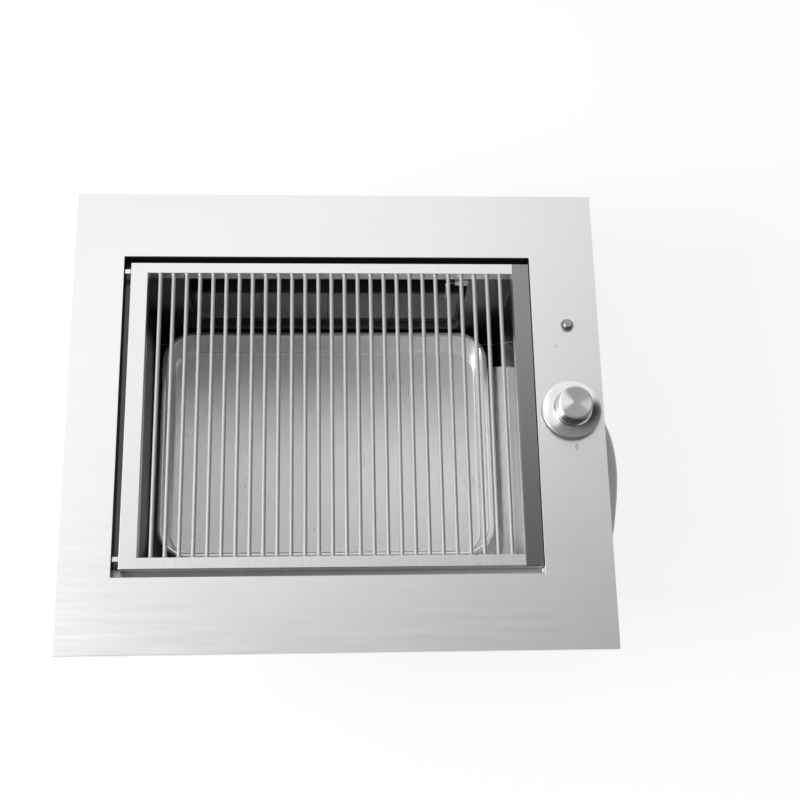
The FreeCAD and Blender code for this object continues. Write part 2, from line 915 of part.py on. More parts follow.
def make_pipe_nuts():
    """Two hexagon nuts that clamp the gas pipe to the valve and to the injector."""
    pieces = []
    start = valve_reach + nipple_length
    places = (
        ("valve", knob_x, knob_y + start, port_level, AGAINST_Y),
        ("injector", pipe_end_x, mixer_y, burner_level, AGAINST_X),
    )
    for name, x, y, z, rotation in places:
        nut = new_body(f"pipe_nut_{name}")
        place(nut, x, y, z, rotation)
        cover = nipple_length - screw_gap * 3
        level = cover - pipe_nut_length
        pad(nut, Drawing(nut, level=level).hexagon(pipe_nut_flats), pipe_nut_length)
        thread = Drawing(nut, level=cover).circle(0, 0, nipple_radius + screw_gap / 2)
        pocket(nut, thread, cover)
        hole = Drawing(nut, level=0).circle(0, 0, pipe_radius + screw_gap / 2)
        pocket(nut, hole, pipe_nut_length)
        pieces.append(nut)
    return grouped("pipe_nuts", pieces)


# Tubes and wires that follow a path in space

def unit(vector):
    return vector * (1 / vector.Length)


def bend_edges(corner, way_in, way_out, reach):
    """The tangent arc that rounds one corner of a path, as (start, edge, end, radius)."""
    turn = way_in.getAngle(way_out)
    radius = reach / math.tan(turn / 2)
    start = corner - unit(way_in) * reach
    end = corner + unit(way_out) * reach
    inward = unit(unit(way_out) - unit(way_in))
    middle = corner + inward * (radius / math.cos(turn / 2) - radius)
    return start, Part.Arc(start, middle, end).toShape(), end, radius


def bent_path(points, bend=None):
    """Straight runs joined by tangent arcs: of one bend radius, or as large as the runs allow."""
    edges = []
    radii = []
    last = points[0]
    for before, corner, after in zip(points, points[1:], points[2:]):
        way_in = corner - before
        way_out = after - corner
        if bend is None:
            reach = 0.45 * min(way_in.Length, way_out.Length)
        else:
            reach = float(bend) * math.tan(way_in.getAngle(way_out) / 2)
        start, arc, end, radius = bend_edges(corner, way_in, way_out, reach)
        edges += [Part.LineSegment(last, start).toShape(), arc]
        radii.append(radius)
        last = end
    edges.append(Part.LineSegment(last, points[-1]).toShape())
    return edges, radii


def half_of_biarc(start, apex, end):
    """One arc that leaves start towards apex and arrives at end from it."""
    middle = (start + end) * 0.5
    half_chord = (end - start).Length / 2
    side = (apex - start).Length
    if (apex - middle).Length < 1e-7:
        return Part.LineSegment(start, end).toShape()
    lean = math.acos(min(1, half_chord / side))
    top = middle + unit(apex - middle) * (half_chord * math.tan(lean / 2))
    return Part.Arc(start, top, end).toShape()


def biarc(start, heading, end, last_heading):
    """Two arcs that join two points and keep a given heading at each."""
    gap = end - start
    both = heading + last_heading
    across = gap.dot(both)
    spread = 2 * (1 - heading.dot(last_heading))
    if abs(spread) < 1e-9:
        reach = gap.dot(gap) / (4 * gap.dot(last_heading))
    else:
        reach = (math.sqrt(across ** 2 + spread * gap.dot(gap)) - across) / spread
    first_apex = start + heading * reach
    last_apex = end - last_heading * reach
    joint = (first_apex + last_apex) * 0.5
    return [half_of_biarc(start, first_apex, joint), half_of_biarc(joint, last_apex, end)]


def tube(edges, start, heading, radius):
    """A round tube along a path, and a print of how its volume compares with the path's."""
    path = Part.Wire(edges)
    ring = Part.Wire([Part.Circle(start, heading, radius).toShape()])
    shell = Part.BRepOffsetAPI.MakePipeShell(path)
    shell.add(ring)
    shell.build()
    shell.makeSolid()
    solid = shell.shape()
    expected = math.pi * radius ** 2 * path.Length
    return solid, path.Length, solid.Volume / expected


def tube_feature(label, edges, start, heading, radius):
    """A tube as a sub-part, its shape set from the sheet's sizes."""
    solid, length, share = tube(edges, start, heading, float(radius))
    feature = doc.addObject("Part::Feature", label)
    feature.Label = label
    feature.Shape = solid
    print(f"{label}: path {length:.1f}, volume over section times length {share:.5f}")
    return feature


def make_gas_pipe():
    """The rigid pipe from the valve to the injector, bent to pass below the igniter."""
    level = float(port_level)
    start_y = float(knob_y + valve_reach + nipple_length)
    x = float(knob_x)
    drop = float(port_level - burner_level)
    points = [
        Vector(x, start_y, level),
        Vector(x, start_y + drop / 2, level),
        Vector(x, start_y + drop * 1.5, level - drop),
        Vector(x, float(mixer_y), level - drop),
        Vector(float(pipe_end_x), float(mixer_y), level - drop),
    ]
    edges, radii = bent_path(points, pipe_bend)
    return tube_feature("gas_pipe", edges, points[0], Vector(0, 1, 0), pipe_radius)


# Gas valve, stem and knob

def make_valve_body():
    """The valve's cast body: an upright barrel with a gas port at the front and at the back."""
    body = new_body("valve_body")
    barrel = Drawing(body, level=valve_low).circle(knob_x, knob_y, valve_radius)
    pad(body, barrel, valve_tall)
    lugs = Drawing(body, level=valve_top - lug_thick)
    lugs.rectangle(knob_x - lug_width / 2, knob_y - lug_reach, knob_x + lug_width / 2,
                   knob_y + lug_reach)
    pad(body, lugs, lug_thick)
    ports = Drawing(body, "XZ_Plane", level=-(knob_y + valve_reach))
    ports.circle(knob_x, port_level, valve_port)
    pad(body, ports, valve_reach * 2)
    nipple = Drawing(body, "XZ_Plane", level=-(knob_y + valve_reach))
    nipple.circle(knob_x, port_level, nipple_radius)
    pad(body, nipple, nipple_length, reverse=True)
    bore = Drawing(body, level=valve_top).circle(knob_x, knob_y, valve_bore)
    pocket(body, bore, valve_top - plug_low + body_gap)
    way = Drawing(body, "XZ_Plane", level=-(knob_y + valve_reach + nipple_length))
    way.circle(knob_x, port_level, gas_way)
    pocket(body, way, nipple_length + valve_reach * 2, reverse=True)
    holes = Drawing(body, level=valve_top)
    for side in (-1, 1):
        holes.circle(knob_x, knob_y + lug_screw * side, screw_radius + screw_gap)
    pocket(body, holes, lug_thick)
    return body


def make_valve_bonnet():
    """The flat cover that closes the valve's barrel and holds the stem in."""
    body = new_body("valve_bonnet")
    drawing = Drawing(body, level=valve_top)
    half = lug_width / 2
    drawing.rectangle(knob_x - half, knob_y - lug_reach, knob_x + half, knob_y + lug_reach)
    drawing.circle(knob_x, knob_y, stem_radius + running_gap)
    for side in (-1, 1):
        drawing.circle(knob_x, knob_y + lug_screw * side, screw_radius + screw_gap)
    pad(body, drawing, bonnet_thick)
    return body


def make_bonnet_screws():
    """Two screws through the bracket and the bonnet into the valve's lugs."""
    pieces = []
    reach = lug_thick * 0.75 + bonnet_thick + bracket_sheet
    for index, side in enumerate((-1, 1)):
        screw = new_body(f"bonnet_screw_{index}")
        place(screw, knob_x, knob_y + lug_screw * side, bracket_top)
        revolve(screw, [
            (0, -reach), (screw_radius, -reach), (screw_radius, 0), (screw_head, 0),
            (screw_head, screw_head_tall * 0.6), (screw_head * 0.7, screw_head_tall),
            (0, screw_head_tall),
        ])
        pieces.append(screw)
    return grouped("bonnet_screws", pieces)


def make_valve_plug():
    """The plug that turns in the barrel, with a gas way and a slot for the stem's tang."""
    body = new_body("valve_plug")
    radius = valve_bore - running_gap
    pad(body, Drawing(body, level=plug_low).circle(knob_x, knob_y, radius), plug_tall)
    slot = Drawing(body, level=plug_top)
    half_wide = tang_thick / 2 + body_gap
    half_long = tang_width / 2 + body_gap
    slot.rectangle(knob_x - half_long, knob_y - half_wide, knob_x + half_long, knob_y + half_wide)
    pocket(body, slot, slot_depth)
    return body


def make_valve_stem():
    """The stem: a tang in the plug, a retaining collar, and a shaft up into the knob."""
    body = new_body("valve_stem")
    place(body, knob_x, knob_y, 0)
    top = knob_top - knob_wall - body_gap
    tang_low = plug_top - tang_into_plug
    tang_top = plug_top + push_travel + body_gap
    collar = valve_bore - body_gap
    revolve(body, [
        (0, tang_top), (stem_shank, tang_top), (stem_shank, collar_low), (collar, collar_low),
        (collar, stem_rest), (stem_radius, stem_rest), (stem_radius, top), (0, top),
    ])
    tang = Drawing(body, level=tang_low)
    half_long = tang_width / 2
    half_wide = tang_thick / 2
    tang.rectangle(-half_long, -half_wide, half_long, half_wide)
    pad(body, tang, tang_top - tang_low)
    return body


def make_knob():
    """The turned metal knob: a hollow cone with a short skirt and a hub on the stem."""
    body = new_body("knob")
    place(body, knob_x, knob_y, 0)
    skirt_top = knob_low + knob_skirt
    shoulder = knob_top - knob_wall * 0.6
    inner_top = knob_top - knob_wall
    waist_radius = knob_top_radius + (knob_radius - knob_top_radius) * 0.36
    waist = skirt_top + (shoulder - skirt_top) * 0.5
    stem_bore = stem_radius + running_gap
    hub_low = knob_low + knob_skirt / 2
    revolve(body, [
        (knob_radius - knob_wall, knob_low), (knob_radius, knob_low), (knob_radius, skirt_top),
        (waist_radius, waist), (knob_top_radius, shoulder),
        (knob_top_radius - knob_wall * 0.4, knob_top), (0, knob_top), (0, inner_top),
        (stem_bore, inner_top), (stem_bore, hub_low), (hub_radius, hub_low),
        (hub_radius, inner_top), (knob_top_radius - knob_wall, inner_top),
        (waist_radius - knob_wall, waist), (knob_radius - knob_wall, skirt_top),
    ])
    hole = Drawing(body, "XZ_Plane", level=0)
    hole.circle(0, set_screw_level, set_screw_radius + screw_gap / 2)
    pocket(body, hole, knob_radius * 2)
    return body


def make_knob_screw():
    """The set screw that holds the knob on the stem."""
    start = stem_radius + body_gap
    length = hub_radius - stem_radius
    screw = rod("knob_screw", knob_x, knob_y + start, set_screw_level, set_screw_radius, length,
                ALONG_Y)
    screw.Label = "knob_screw"
    return screw


def make_valve_bracket():
    """The folded bracket that hangs the valve from two studs under the rim plate."""
    body = new_body("valve_bracket")
    sheet_thick = bracket_sheet
    near = bracket_reach
    far = bracket_reach + bracket_foot
    low = bonnet_top
    left = knob_x - bracket_width / 2
    outline = []
    for side in (1, -1):
        half = [(knob_y + near * side, low), (knob_y + near * side, plate_under - sheet_thick),
                (knob_y + far * side, plate_under - sheet_thick), (knob_y + far * side, plate_under),
                (knob_y + (near - sheet_thick) * side, plate_under),
                (knob_y + (near - sheet_thick) * side, low + sheet_thick)]
        outline += half if side == 1 else half[::-1]
    pad(body, Drawing(body, "YZ_Plane", level=left).polygon(outline), bracket_width)
    base = Drawing(body, level=low + sheet_thick)
    base.circle(knob_x, knob_y, stem_radius + 1.5)
    for side in (-1, 1):
        base.circle(knob_x, knob_y + lug_screw * side, screw_radius + screw_gap)
    pocket(body, base, sheet_thick)
    feet = Drawing(body, level=plate_under)
    for side in (-1, 1):
        feet.circle(knob_x, knob_y + stud_reach * side, stud_radius + screw_gap)
    pocket(body, feet, sheet_thick)
    return body


def make_plate_studs():
    """Two threaded studs welded under the rim plate."""
    pieces = []
    for index, side in enumerate((-1, 1)):
        y = knob_y + stud_reach * side
        low = plate_under - stud_length
        pieces.append(rod(f"stud_{index}", knob_x, y, low, stud_radius, stud_length))
    return grouped("plate_studs", pieces)


def make_stud_nuts():
    """The two hexagon nuts that clamp the bracket to the studs."""
    pieces = []
    top = plate_under - bracket_sheet
    for index, side in enumerate((-1, 1)):
        nut = new_body(f"stud_nut_{index}")
        place(nut, knob_x, knob_y + stud_reach * side, top - nut_thick)
        drawing = Drawing(nut).hexagon(nut_flats)
        drawing.circle(0, 0, stud_radius + screw_gap / 2)
        pad(nut, drawing, nut_thick)
        pieces.append(nut)
    return grouped("stud_nuts", pieces)


# Push-button igniter and electrode

def make_igniter_body():
    """The igniter's case: a threaded neck through the plate over a wider hollow barrel."""
    body = new_body("igniter_body")
    place(body, button_x, button_y, 0)
    neck_bore = button_radius + body_gap
    barrel_bore = igniter_radius - igniter_wall
    floor_top = igniter_low + igniter_wall
    flange_top = plate_top + collar_rise
    ceiling = thread_low - igniter_wall
    revolve(body, [
        (0, igniter_low), (igniter_radius, igniter_low), (igniter_radius, thread_low),
        (thread_radius, thread_low), (thread_radius, plate_top), (collar_radius, plate_top),
        (collar_radius, flange_top), (neck_bore, flange_top), (neck_bore, ceiling),
        (barrel_bore, ceiling), (barrel_bore, floor_top), (0, floor_top),
    ])
    return body


def make_igniter_nut():
    """The nut under the plate that holds the igniter in its hole."""
    body = new_body("igniter_nut")
    place(body, button_x, button_y, plate_under - nut_thick)
    drawing = Drawing(body).hexagon(igniter_nut_flats)
    drawing.circle(0, 0, thread_radius + screw_gap / 2)
    pad(body, drawing, nut_thick)
    return body


def make_igniter_button():
    """The push button: a domed cap over a plunger with a retaining foot."""
    body = new_body("igniter_button")
    place(body, button_x, button_y, 0)
    foot = igniter_radius - igniter_wall - body_gap
    foot_low = button_foot - igniter_wall
    edge = button_radius * 0.2
    pin_low = striker_top + button_travel + body_gap * 3
    pin = button_radius * 0.5
    revolve(body, [
        (0, pin_low), (pin, pin_low), (pin, foot_low), (foot, foot_low), (foot, button_foot),
        (button_radius, button_foot), (button_radius, button_top - edge),
        (button_radius - edge, button_top), (0, button_top),
    ])
    return body


def make_spark_unit():
    """The sealed piezo element at the bottom of the igniter, with its terminal pin below."""
    body = new_body("spark_unit")
    place(body, button_x, button_y, 0)
    radius = igniter_radius - igniter_wall - screw_gap
    low = igniter_low + igniter_wall
    revolve(body, [(0, low), (radius, low), (radius, striker_top), (0, striker_top)])
    return body


def make_spark_terminal():
    """The metal pin under the igniter that the lead is pushed on to."""
    low = igniter_low - terminal_length
    pin = rod("spark_terminal", button_x, button_y, low, terminal_radius, terminal_length)
    pin.Label = "spark_terminal"
    return pin


def coil_spring(label, x, y, low, high, mean_radius, wire, turns):
    """A helical spring between two levels, wound as pairs of arcs, a quarter turn at a time."""
    steps = turns * 4
    rise = (float(high) - float(low) - 2 * wire) / steps
    bottom = float(low) + wire
    points = []
    headings = []
    for index in range(steps + 1):
        angle = index * math.pi / 2
        offset = Vector(math.cos(angle), math.sin(angle), 0) * mean_radius
        points.append(Vector(float(x), float(y), bottom + rise * index) + offset)
        along = Vector(-math.sin(angle), math.cos(angle), 0) * mean_radius
        headings.append(unit(along + Vector(0, 0, rise / (math.pi / 2))))
    edges = []
    for index in range(steps):
        edges += biarc(points[index], headings[index], points[index + 1], headings[index + 1])
    print(f"{label}: gap between its turns {rise * 4 - 2 * wire:.2f}")
    return tube_feature(label, edges, points[0], headings[0], wire)


def make_knob_spring():
    """The spring that lifts the knob and its stem after a push."""
    mean = float(valve_bore - spring_side_gap - knob_spring_wire)
    low = plug_top + spring_end_gap
    high = collar_low - body_gap
    return coil_spring("knob_spring", knob_x, knob_y, low, high, mean, float(knob_spring_wire), 6)


def make_button_spring():
    """The spring that lifts the igniter's button after a push."""
    wire = float(button_spring_wire)
    mean = float(igniter_radius - igniter_wall - spring_side_gap) - wire
    low = striker_top + spring_end_gap
    high = button_foot - igniter_wall - body_gap
    return coil_spring("button_spring", button_x, button_y, low, high, mean, wire, 6)


def make_electrode_insulator():
    """The ceramic sleeve that carries the spark through the housing's side."""
    length = electrode_inside + electrode_outside
    body = new_body("electrode_insulator")
    place(body, window_right - electrode_inside, electrode_y, electrode_level, ALONG_X)
    wall = box_sheet
    flange = electrode_radius * 1.6
    seat = electrode_inside + wall
    bore = electrode_rod + screw_gap / 2
    revolve(body, [
        (bore, 0), (electrode_radius, 0), (electrode_radius, seat), (flange, seat),
        (flange, seat + wall * 3), (electrode_radius, seat + wall * 3),
        (electrode_radius, length), (bore, length),
    ])
    return body


def make_electrode_rod():
    """The steel rod inside the ceramic, bent down in front of the tiles."""
    start = float(window_right + electrode_outside)
    x = float(window_right - electrode_inside) - 9
    y = float(electrode_y)
    level = float(electrode_level)
    front = float(burner_front - burner_sheet - spark_gap)
    tip = float(burner_top) - 9
    points = [
        Vector(start, y, level),
        Vector(x, y, level),
        Vector(x, front, level - 6),
        Vector(x, front, tip),
    ]
    edges, radii = bent_path(points, electrode_rod * 2.5)
    return tube_feature("electrode_rod", edges, points[0], Vector(-1, 0, 0), electrode_rod)


def make_ignition_lead():
    """The insulated lead from the igniter's terminal to the electrode's outer end."""
    start = Vector(float(button_x), float(button_y), float(igniter_low - terminal_length))
    end = Vector(float(window_right + electrode_outside), float(electrode_y),
                 float(electrode_level))
    points = [
        start,
        start + Vector(0, 0, -14),
        start + Vector(-14, 20, -16),
        start + Vector(-30, 48, 0),
        Vector(end.x + 26, end.y, end.z),
        end,
    ]
    edges, radii = bent_path(points)
    print("ignition_lead bends", [round(radius, 1) for radius in radii])
    return tube_feature("ignition_lead", edges, start, Vector(0, 0, -1), lead_radius)


# Heat shield

def make_heat_shield():
    """A hanging sheet that keeps the firebox's heat off the valve and the igniter."""
    body = new_body("heat_shield")
    top = plate_under - box_sheet
    profile = Drawing(body, "XZ_Plane", level=shield_front)
    right = shield_left + shield_sheet
    profile.polygon([
        (shield_left, shield_low), (right, shield_low), (right, top - shield_sheet),
        (shield_left + shield_top_width, top - shield_sheet),
        (shield_left + shield_top_width, top), (shield_left, top),
    ])
    pad(body, profile, shield_front + shield_back, reverse=True)
    return body


def make_shield_rivets():
    """Three rivet heads that hold the shield's top lip under the firebox's flange."""
    pieces = []
    low = plate_under - box_sheet - shield_sheet - screw_head_tall
    x = shield_left + shield_top_width * 0.62
    for index in range(3):
        y = (shield_front + shield_back) * (index + 0.5) / 3 - shield_front
        pieces.append(rod(f"shield_rivet_{index}", x, y, low, screw_head * 0.8, screw_head_tall))
    return grouped("shield_rivets", pieces)


# Gas hose and its fittings

def make_inlet_union():
    """The brass union in the valve's front port, with a nose for the hose nut."""
    body = new_body("inlet_union")
    place(body, knob_x, knob_y - valve_reach, port_level, AGAINST_Y)
    pad(body, Drawing(body).hexagon(union_flats), union_length)
    pad(body, Drawing(body, level=union_length).circle(0, 0, nose_radius), nose_length)
    way = Drawing(body, level=union_length + nose_length).circle(0, 0, gas_way)
    pocket(body, way, union_length + nose_length)
    return body


def hose_nut(label):
    """A hexagon nut that opens towards its union and turns on the hose's ferrule."""
    body = new_body(label)
    pad(body, Drawing(body).hexagon(hose_nut_flats), hose_nut_length)
    thread = Drawing(body, level=hose_nut_length).circle(0, 0, nose_radius + screw_gap)
    pocket(body, thread, nose_length + body_gap * 2)
    return body


def ferrule(label):
    """The crimped sleeve at a hose end, with two pressed grooves."""
    body = new_body(label)
    groove = ferrule_radius * 0.93
    band = ferrule_length / 7
    revolve(body, [
        (0, 0), (ferrule_radius, 0), (ferrule_radius, band * 2), (groove, band * 2),
        (groove, band * 3), (ferrule_radius, band * 3), (ferrule_radius, band * 4),
        (groove, band * 4), (groove, band * 5), (ferrule_radius, band * 5),
        (ferrule_radius, ferrule_length), (0, ferrule_length),
    ])
    return body


def make_near_fitting():
    """The nut and ferrule that join the hose to the grill."""
    nut = place(hose_nut("hose_nut_near"), knob_x, near_ferrule_y, port_level, ALONG_Y)
    sleeve = place(ferrule("hose_ferrule_near"), knob_x, hose_start_y, port_level, ALONG_Y)
    return [nut, sleeve]


def coil_points():
    """Points and headings of the stored coil: one turn in, a climb, and most of one turn out."""
    inner = float(coil_radius)
    step = float(coil_step)
    low, high = float(coil_low), float(coil_high)
    levels = [low] * 5 + [(low + high) / 2, high, high, float(coil_end_level)]
    centre = Vector(float(coil_x), float(coil_y), 0)
    points = []
    headings = []
    for index, level in enumerate(levels):
        angle = index * math.pi / 2
        radius = inner + step * abs(index - 5) / 4
        outward = Vector(math.cos(angle), math.sin(angle), 0)
        along = Vector(-math.sin(angle), math.cos(angle), 0)
        points.append(centre + outward * radius + Vector(0, 0, level))
        spread = step / (2 * math.pi) * (1 if index > 5 else -1 if 0 < index < 5 else 0)
        if index == len(levels) - 1:
            spread = 0
        climb = (high - low) / math.pi if index == 5 else 0
        headings.append(unit(along * radius + outward * spread + Vector(0, 0, climb)))
    return points, headings


def least_gap(edges, radius):
    """The smallest gap between stretches of a tube that lie half a turn or more apart."""
    samples = []
    for edge in edges:
        samples += edge.discretize(9)[:-1]
    apart = int(8 * len(edges) / 4.5)
    nearest = min(
        (first - second).Length
        for index, first in enumerate(samples)
        for second in samples[index + apart:]
    )
    return nearest - 2 * radius


def make_hose_coil():
    """The stored length of hose, coiled on the floor close behind the firebox."""
    points, headings = coil_points()
    edges = []
    for index in range(len(points) - 1):
        edges += biarc(points[index], headings[index], points[index + 1], headings[index + 1])
    print(f"hose_coil: least gap to itself {least_gap(edges, float(hose_radius)):.2f}")
    tail = points[-1] + headings[-1] * float(hose_radius * 2)
    edges.append(Part.LineSegment(points[-1], tail).toShape())
    return tube_feature("hose_coil", edges, points[0], headings[0], hose_radius)


def hose_route():
    """The hose's free run: forward out of the union, down and round, and back along the floor."""
    start = Vector(float(knob_x), float(hose_start_y), float(port_level))
    floor = float(hose_radius)
    coil_start = Vector(float(coil_start_x), float(coil_y), float(coil_low))
    return [
        start,
        start + Vector(0, -44, 0),
        Vector(237, -163, 131),
        Vector(255, -183, 84),
        Vector(273, -168, 37),
        Vector(287, -128, floor + 1),
        Vector(300.5, -84, floor + 0.5),
        Vector(307.5, -44, floor + 0.5),
        Vector(311.5, -6, floor + 0.5),
        Vector(308.5, 30, floor + 0.5),
        Vector(296, 62, floor + 0.5),
        Vector(286, 104, floor + 0.5),
        coil_start + Vector(0, -80, -0.6),
        coil_start + Vector(0, -30, 0),
        coil_start,
    ]


def make_hose_run():
    """The free run as a tube of straight runs and tangent arcs."""
    points = hose_route()
    edges, radii = bent_path(points)
    print("hose_run bends", [round(radius, 1) for radius in radii])
    runs = [(b - a).Length for a, b in zip(points, points[1:])]
    print("hose_run runs", [round(run, 1) for run in runs])
    return tube_feature("hose_run", edges, points[0], Vector(0, -1, 0), hose_radius)


def make_far_fitting():
    """The ferrule and nut at the hose's free end, resting on the coil."""
    sleeve = ferrule("hose_ferrule_far")
    nut = hose_nut("hose_nut_far")
    end_y = coil_y + hose_radius * 2
    place(sleeve, coil_end_x, end_y, coil_end_level, ALONG_Y)
    place(nut, coil_end_x, end_y + ferrule_length, coil_end_level, ALONG_Y)
    return [sleeve, nut]


def make_hose_tie():
    """The strap that holds the coil's two layers together."""
    body = new_body("hose_tie")
    outer_x = coil_x - coil_radius - coil_step * 3 / 4 - hose_radius - tie_gap
    inner_x = coil_x - coil_radius - coil_step / 4 + hose_radius + tie_gap
    low = coil_low - hose_radius - tie_gap
    high = coil_high + hose_radius + tie_gap
    wall = tie_thick
    bend = hose_radius * 0.5
    level = -(coil_y - tie_width / 2)
    drawing = Drawing(body, "XZ_Plane", level=level)
    drawing.rounded(outer_x, low, inner_x, high, bend)
    drawing.rounded(outer_x - wall, low - wall, inner_x + wall, high + wall, bend + wall)
    pad(body, drawing, tie_width, reverse=True)
    return body


# Build every sub-part, check it and write it out

def build():
    """Make all sub-parts, in the order in which the grill goes together."""
    return [
        make_top_plate(), make_rim_seal(), make_firebox(),
        make_grate_frame(), make_grate_rods(), make_grate_tabs(), make_drip_tray(),
        make_burner_housing(), make_burner_body(), make_burner_tiles(), make_burner_frame(),
        make_burner_feet(), make_housing_screws(), make_mixing_tube(), make_air_shutter(),
        make_injector(), make_pipe_nuts(), make_gas_pipe(),
        make_valve_body(), make_valve_bonnet(), make_bonnet_screws(), make_valve_plug(),
        make_valve_stem(), make_knob(), make_knob_screw(), make_knob_spring(),
        make_valve_bracket(), make_plate_studs(), make_stud_nuts(),
        make_igniter_body(), make_igniter_nut(), make_igniter_button(), make_spark_unit(),
        make_spark_terminal(), make_button_spring(),
        make_electrode_insulator(), make_electrode_rod(), make_ignition_lead(),
        make_heat_shield(), make_shield_rivets(),
        make_inlet_union(), *make_near_fitting(), make_hose_run(), make_hose_coil(),
        *make_far_fitting(), make_hose_tie(),
    ]


subparts = build()
doc.recompute()

for thing in doc.Objects:
    if "Invalid" in thing.State or "Error" in thing.State:
        raise ValueError(f"{thing.Label} did not rebuild: {thing.State}")

for subpart in subparts:
    shape = subpart.Shape
    if shape.isNull() or not shape.isValid():
        raise ValueError(f"{subpart.Label} has no valid shape")
    shape.exportStep(f"parts/{subpart.Label}.step")

print(f"{len(subparts)} sub-parts written")
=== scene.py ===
# %% [markdown]
# # A drop-in gas grill, dressed for a picture
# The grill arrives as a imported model: every sheet, rod, screw and valve at its real size and place.
# This script gives each of them the surface that the real one has. It works in metres, with X to
# the right, Y to the back and Z up. MM is one millimetre.

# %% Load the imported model
import json
import math

import bmesh
import bpy
import numpy as np
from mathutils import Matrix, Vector


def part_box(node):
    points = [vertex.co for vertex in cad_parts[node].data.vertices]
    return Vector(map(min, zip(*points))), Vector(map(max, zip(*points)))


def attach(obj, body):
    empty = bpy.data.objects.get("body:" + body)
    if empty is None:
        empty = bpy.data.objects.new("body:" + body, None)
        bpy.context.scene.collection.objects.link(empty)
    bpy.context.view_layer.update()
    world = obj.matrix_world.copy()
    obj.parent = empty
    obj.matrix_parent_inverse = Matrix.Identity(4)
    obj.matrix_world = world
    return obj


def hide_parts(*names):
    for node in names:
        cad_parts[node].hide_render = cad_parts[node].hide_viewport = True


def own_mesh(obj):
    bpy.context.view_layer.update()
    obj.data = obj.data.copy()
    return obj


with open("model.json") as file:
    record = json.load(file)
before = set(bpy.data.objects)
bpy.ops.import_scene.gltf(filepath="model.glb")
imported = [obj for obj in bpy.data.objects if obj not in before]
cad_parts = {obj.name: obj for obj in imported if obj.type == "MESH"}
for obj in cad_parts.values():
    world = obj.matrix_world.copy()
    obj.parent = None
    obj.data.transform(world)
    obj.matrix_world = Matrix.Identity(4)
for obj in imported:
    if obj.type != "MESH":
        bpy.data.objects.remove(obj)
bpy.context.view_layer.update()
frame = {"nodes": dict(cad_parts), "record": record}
record = frame["record"]
body_of = {n: b for b, names in record["behaviour"]["bodies"].items() for n in names}
slot_of = {part["node"]: part["material_slot"] for part in record["subparts"]}

# %% [markdown]
# ## The camera
# The photograph looks steeply down on the rim plate. The plate's two families of parallel edges
# give the focal length and the three angles, and its known width gives the distance. Blender
# takes the same numbers: a lens for a 36 mm sensor, a place and three turns.

# %% Camera
MM = 0.001


def new_object(name, data):
    """An object with its data, linked into the scene."""
    thing = bpy.data.objects.new(name, data)
    bpy.context.scene.collection.objects.link(thing)
    return thing


lens = bpy.data.cameras.new("camera")
lens.sensor_width = 36
lens.lens = 60.78
camera = new_object("camera", lens)
camera.location = (-0.01827, -0.39277, 1.46312)
camera.rotation_euler = [math.radians(angle) for angle in (18.0, -3.226, -1.173)]
bpy.context.scene.camera = camera
print("camera", lens.lens, "mm")

# %% [markdown]
# ## Shader maths as Python
# A procedural finish is a formula: a mask times a colour, one minus a noise, a sine of a distance.
# Blender stores each operation as a node. The class below wraps a node's output, so that a Python
# expression makes the nodes by itself.


# %% A value in a shader
class Value:
    """An output of a shader node; an expression on it adds Math nodes to the same tree."""

    def __init__(self, tree, socket):
        self.tree = tree
        self.socket = socket

    def maths(self, operation, *others, first=None):
        values = (self, *others) if first is None else (first, self)
        return add_node(self.tree, "ShaderNodeMath", values, operation=operation)

    def __abs__(self):
        return self.maths("ABSOLUTE")

    def between(self, low, high):
        """0 below low, 1 above high, and a smooth step from one to the other."""
        values = (self, low, high, 0, 1)
        return add_node(self.tree, "ShaderNodeMapRange", values, interpolation_type="SMOOTHSTEP")

    def parts(self):
        """The three parts of a vector as values."""
        kind = "ShaderNodeSeparateXYZ"
        return [add_node(self.tree, kind, [self], output=number) for number in range(3)]


OPERATIONS = {"add": "ADD", "sub": "SUBTRACT", "mul": "MULTIPLY", "truediv": "DIVIDE"}
OPERATIONS |= {"pow": "POWER", "gt": "GREATER_THAN", "lt": "LESS_THAN"}
for sign, operation in OPERATIONS.items():
    setattr(Value, f"__{sign}__", lambda self, other, how=operation: self.maths(how, other))
    setattr(Value, f"__r{sign}__", lambda self, other, how=operation: self.maths(how, first=other))


def plug(tree, slot, value):
    """Link a value into a socket, or write a plain number, colour or vector on it."""
    if isinstance(value, Value):
        tree.links.new(value.socket, slot)
    else:
        slot.default_value = value


def add_node(tree, kind, inputs=(), output=0, **settings):
    """Add a node: its settings, then values for its sockets, in order or by name."""
    node = tree.nodes.new(kind)
    for name, value in settings.items():
        setattr(node, name, value)
    for slot, value in inputs.items() if isinstance(inputs, dict) else enumerate(inputs):
        plug(tree, node.inputs[slot], value)
    return Value(tree, node.outputs[output])


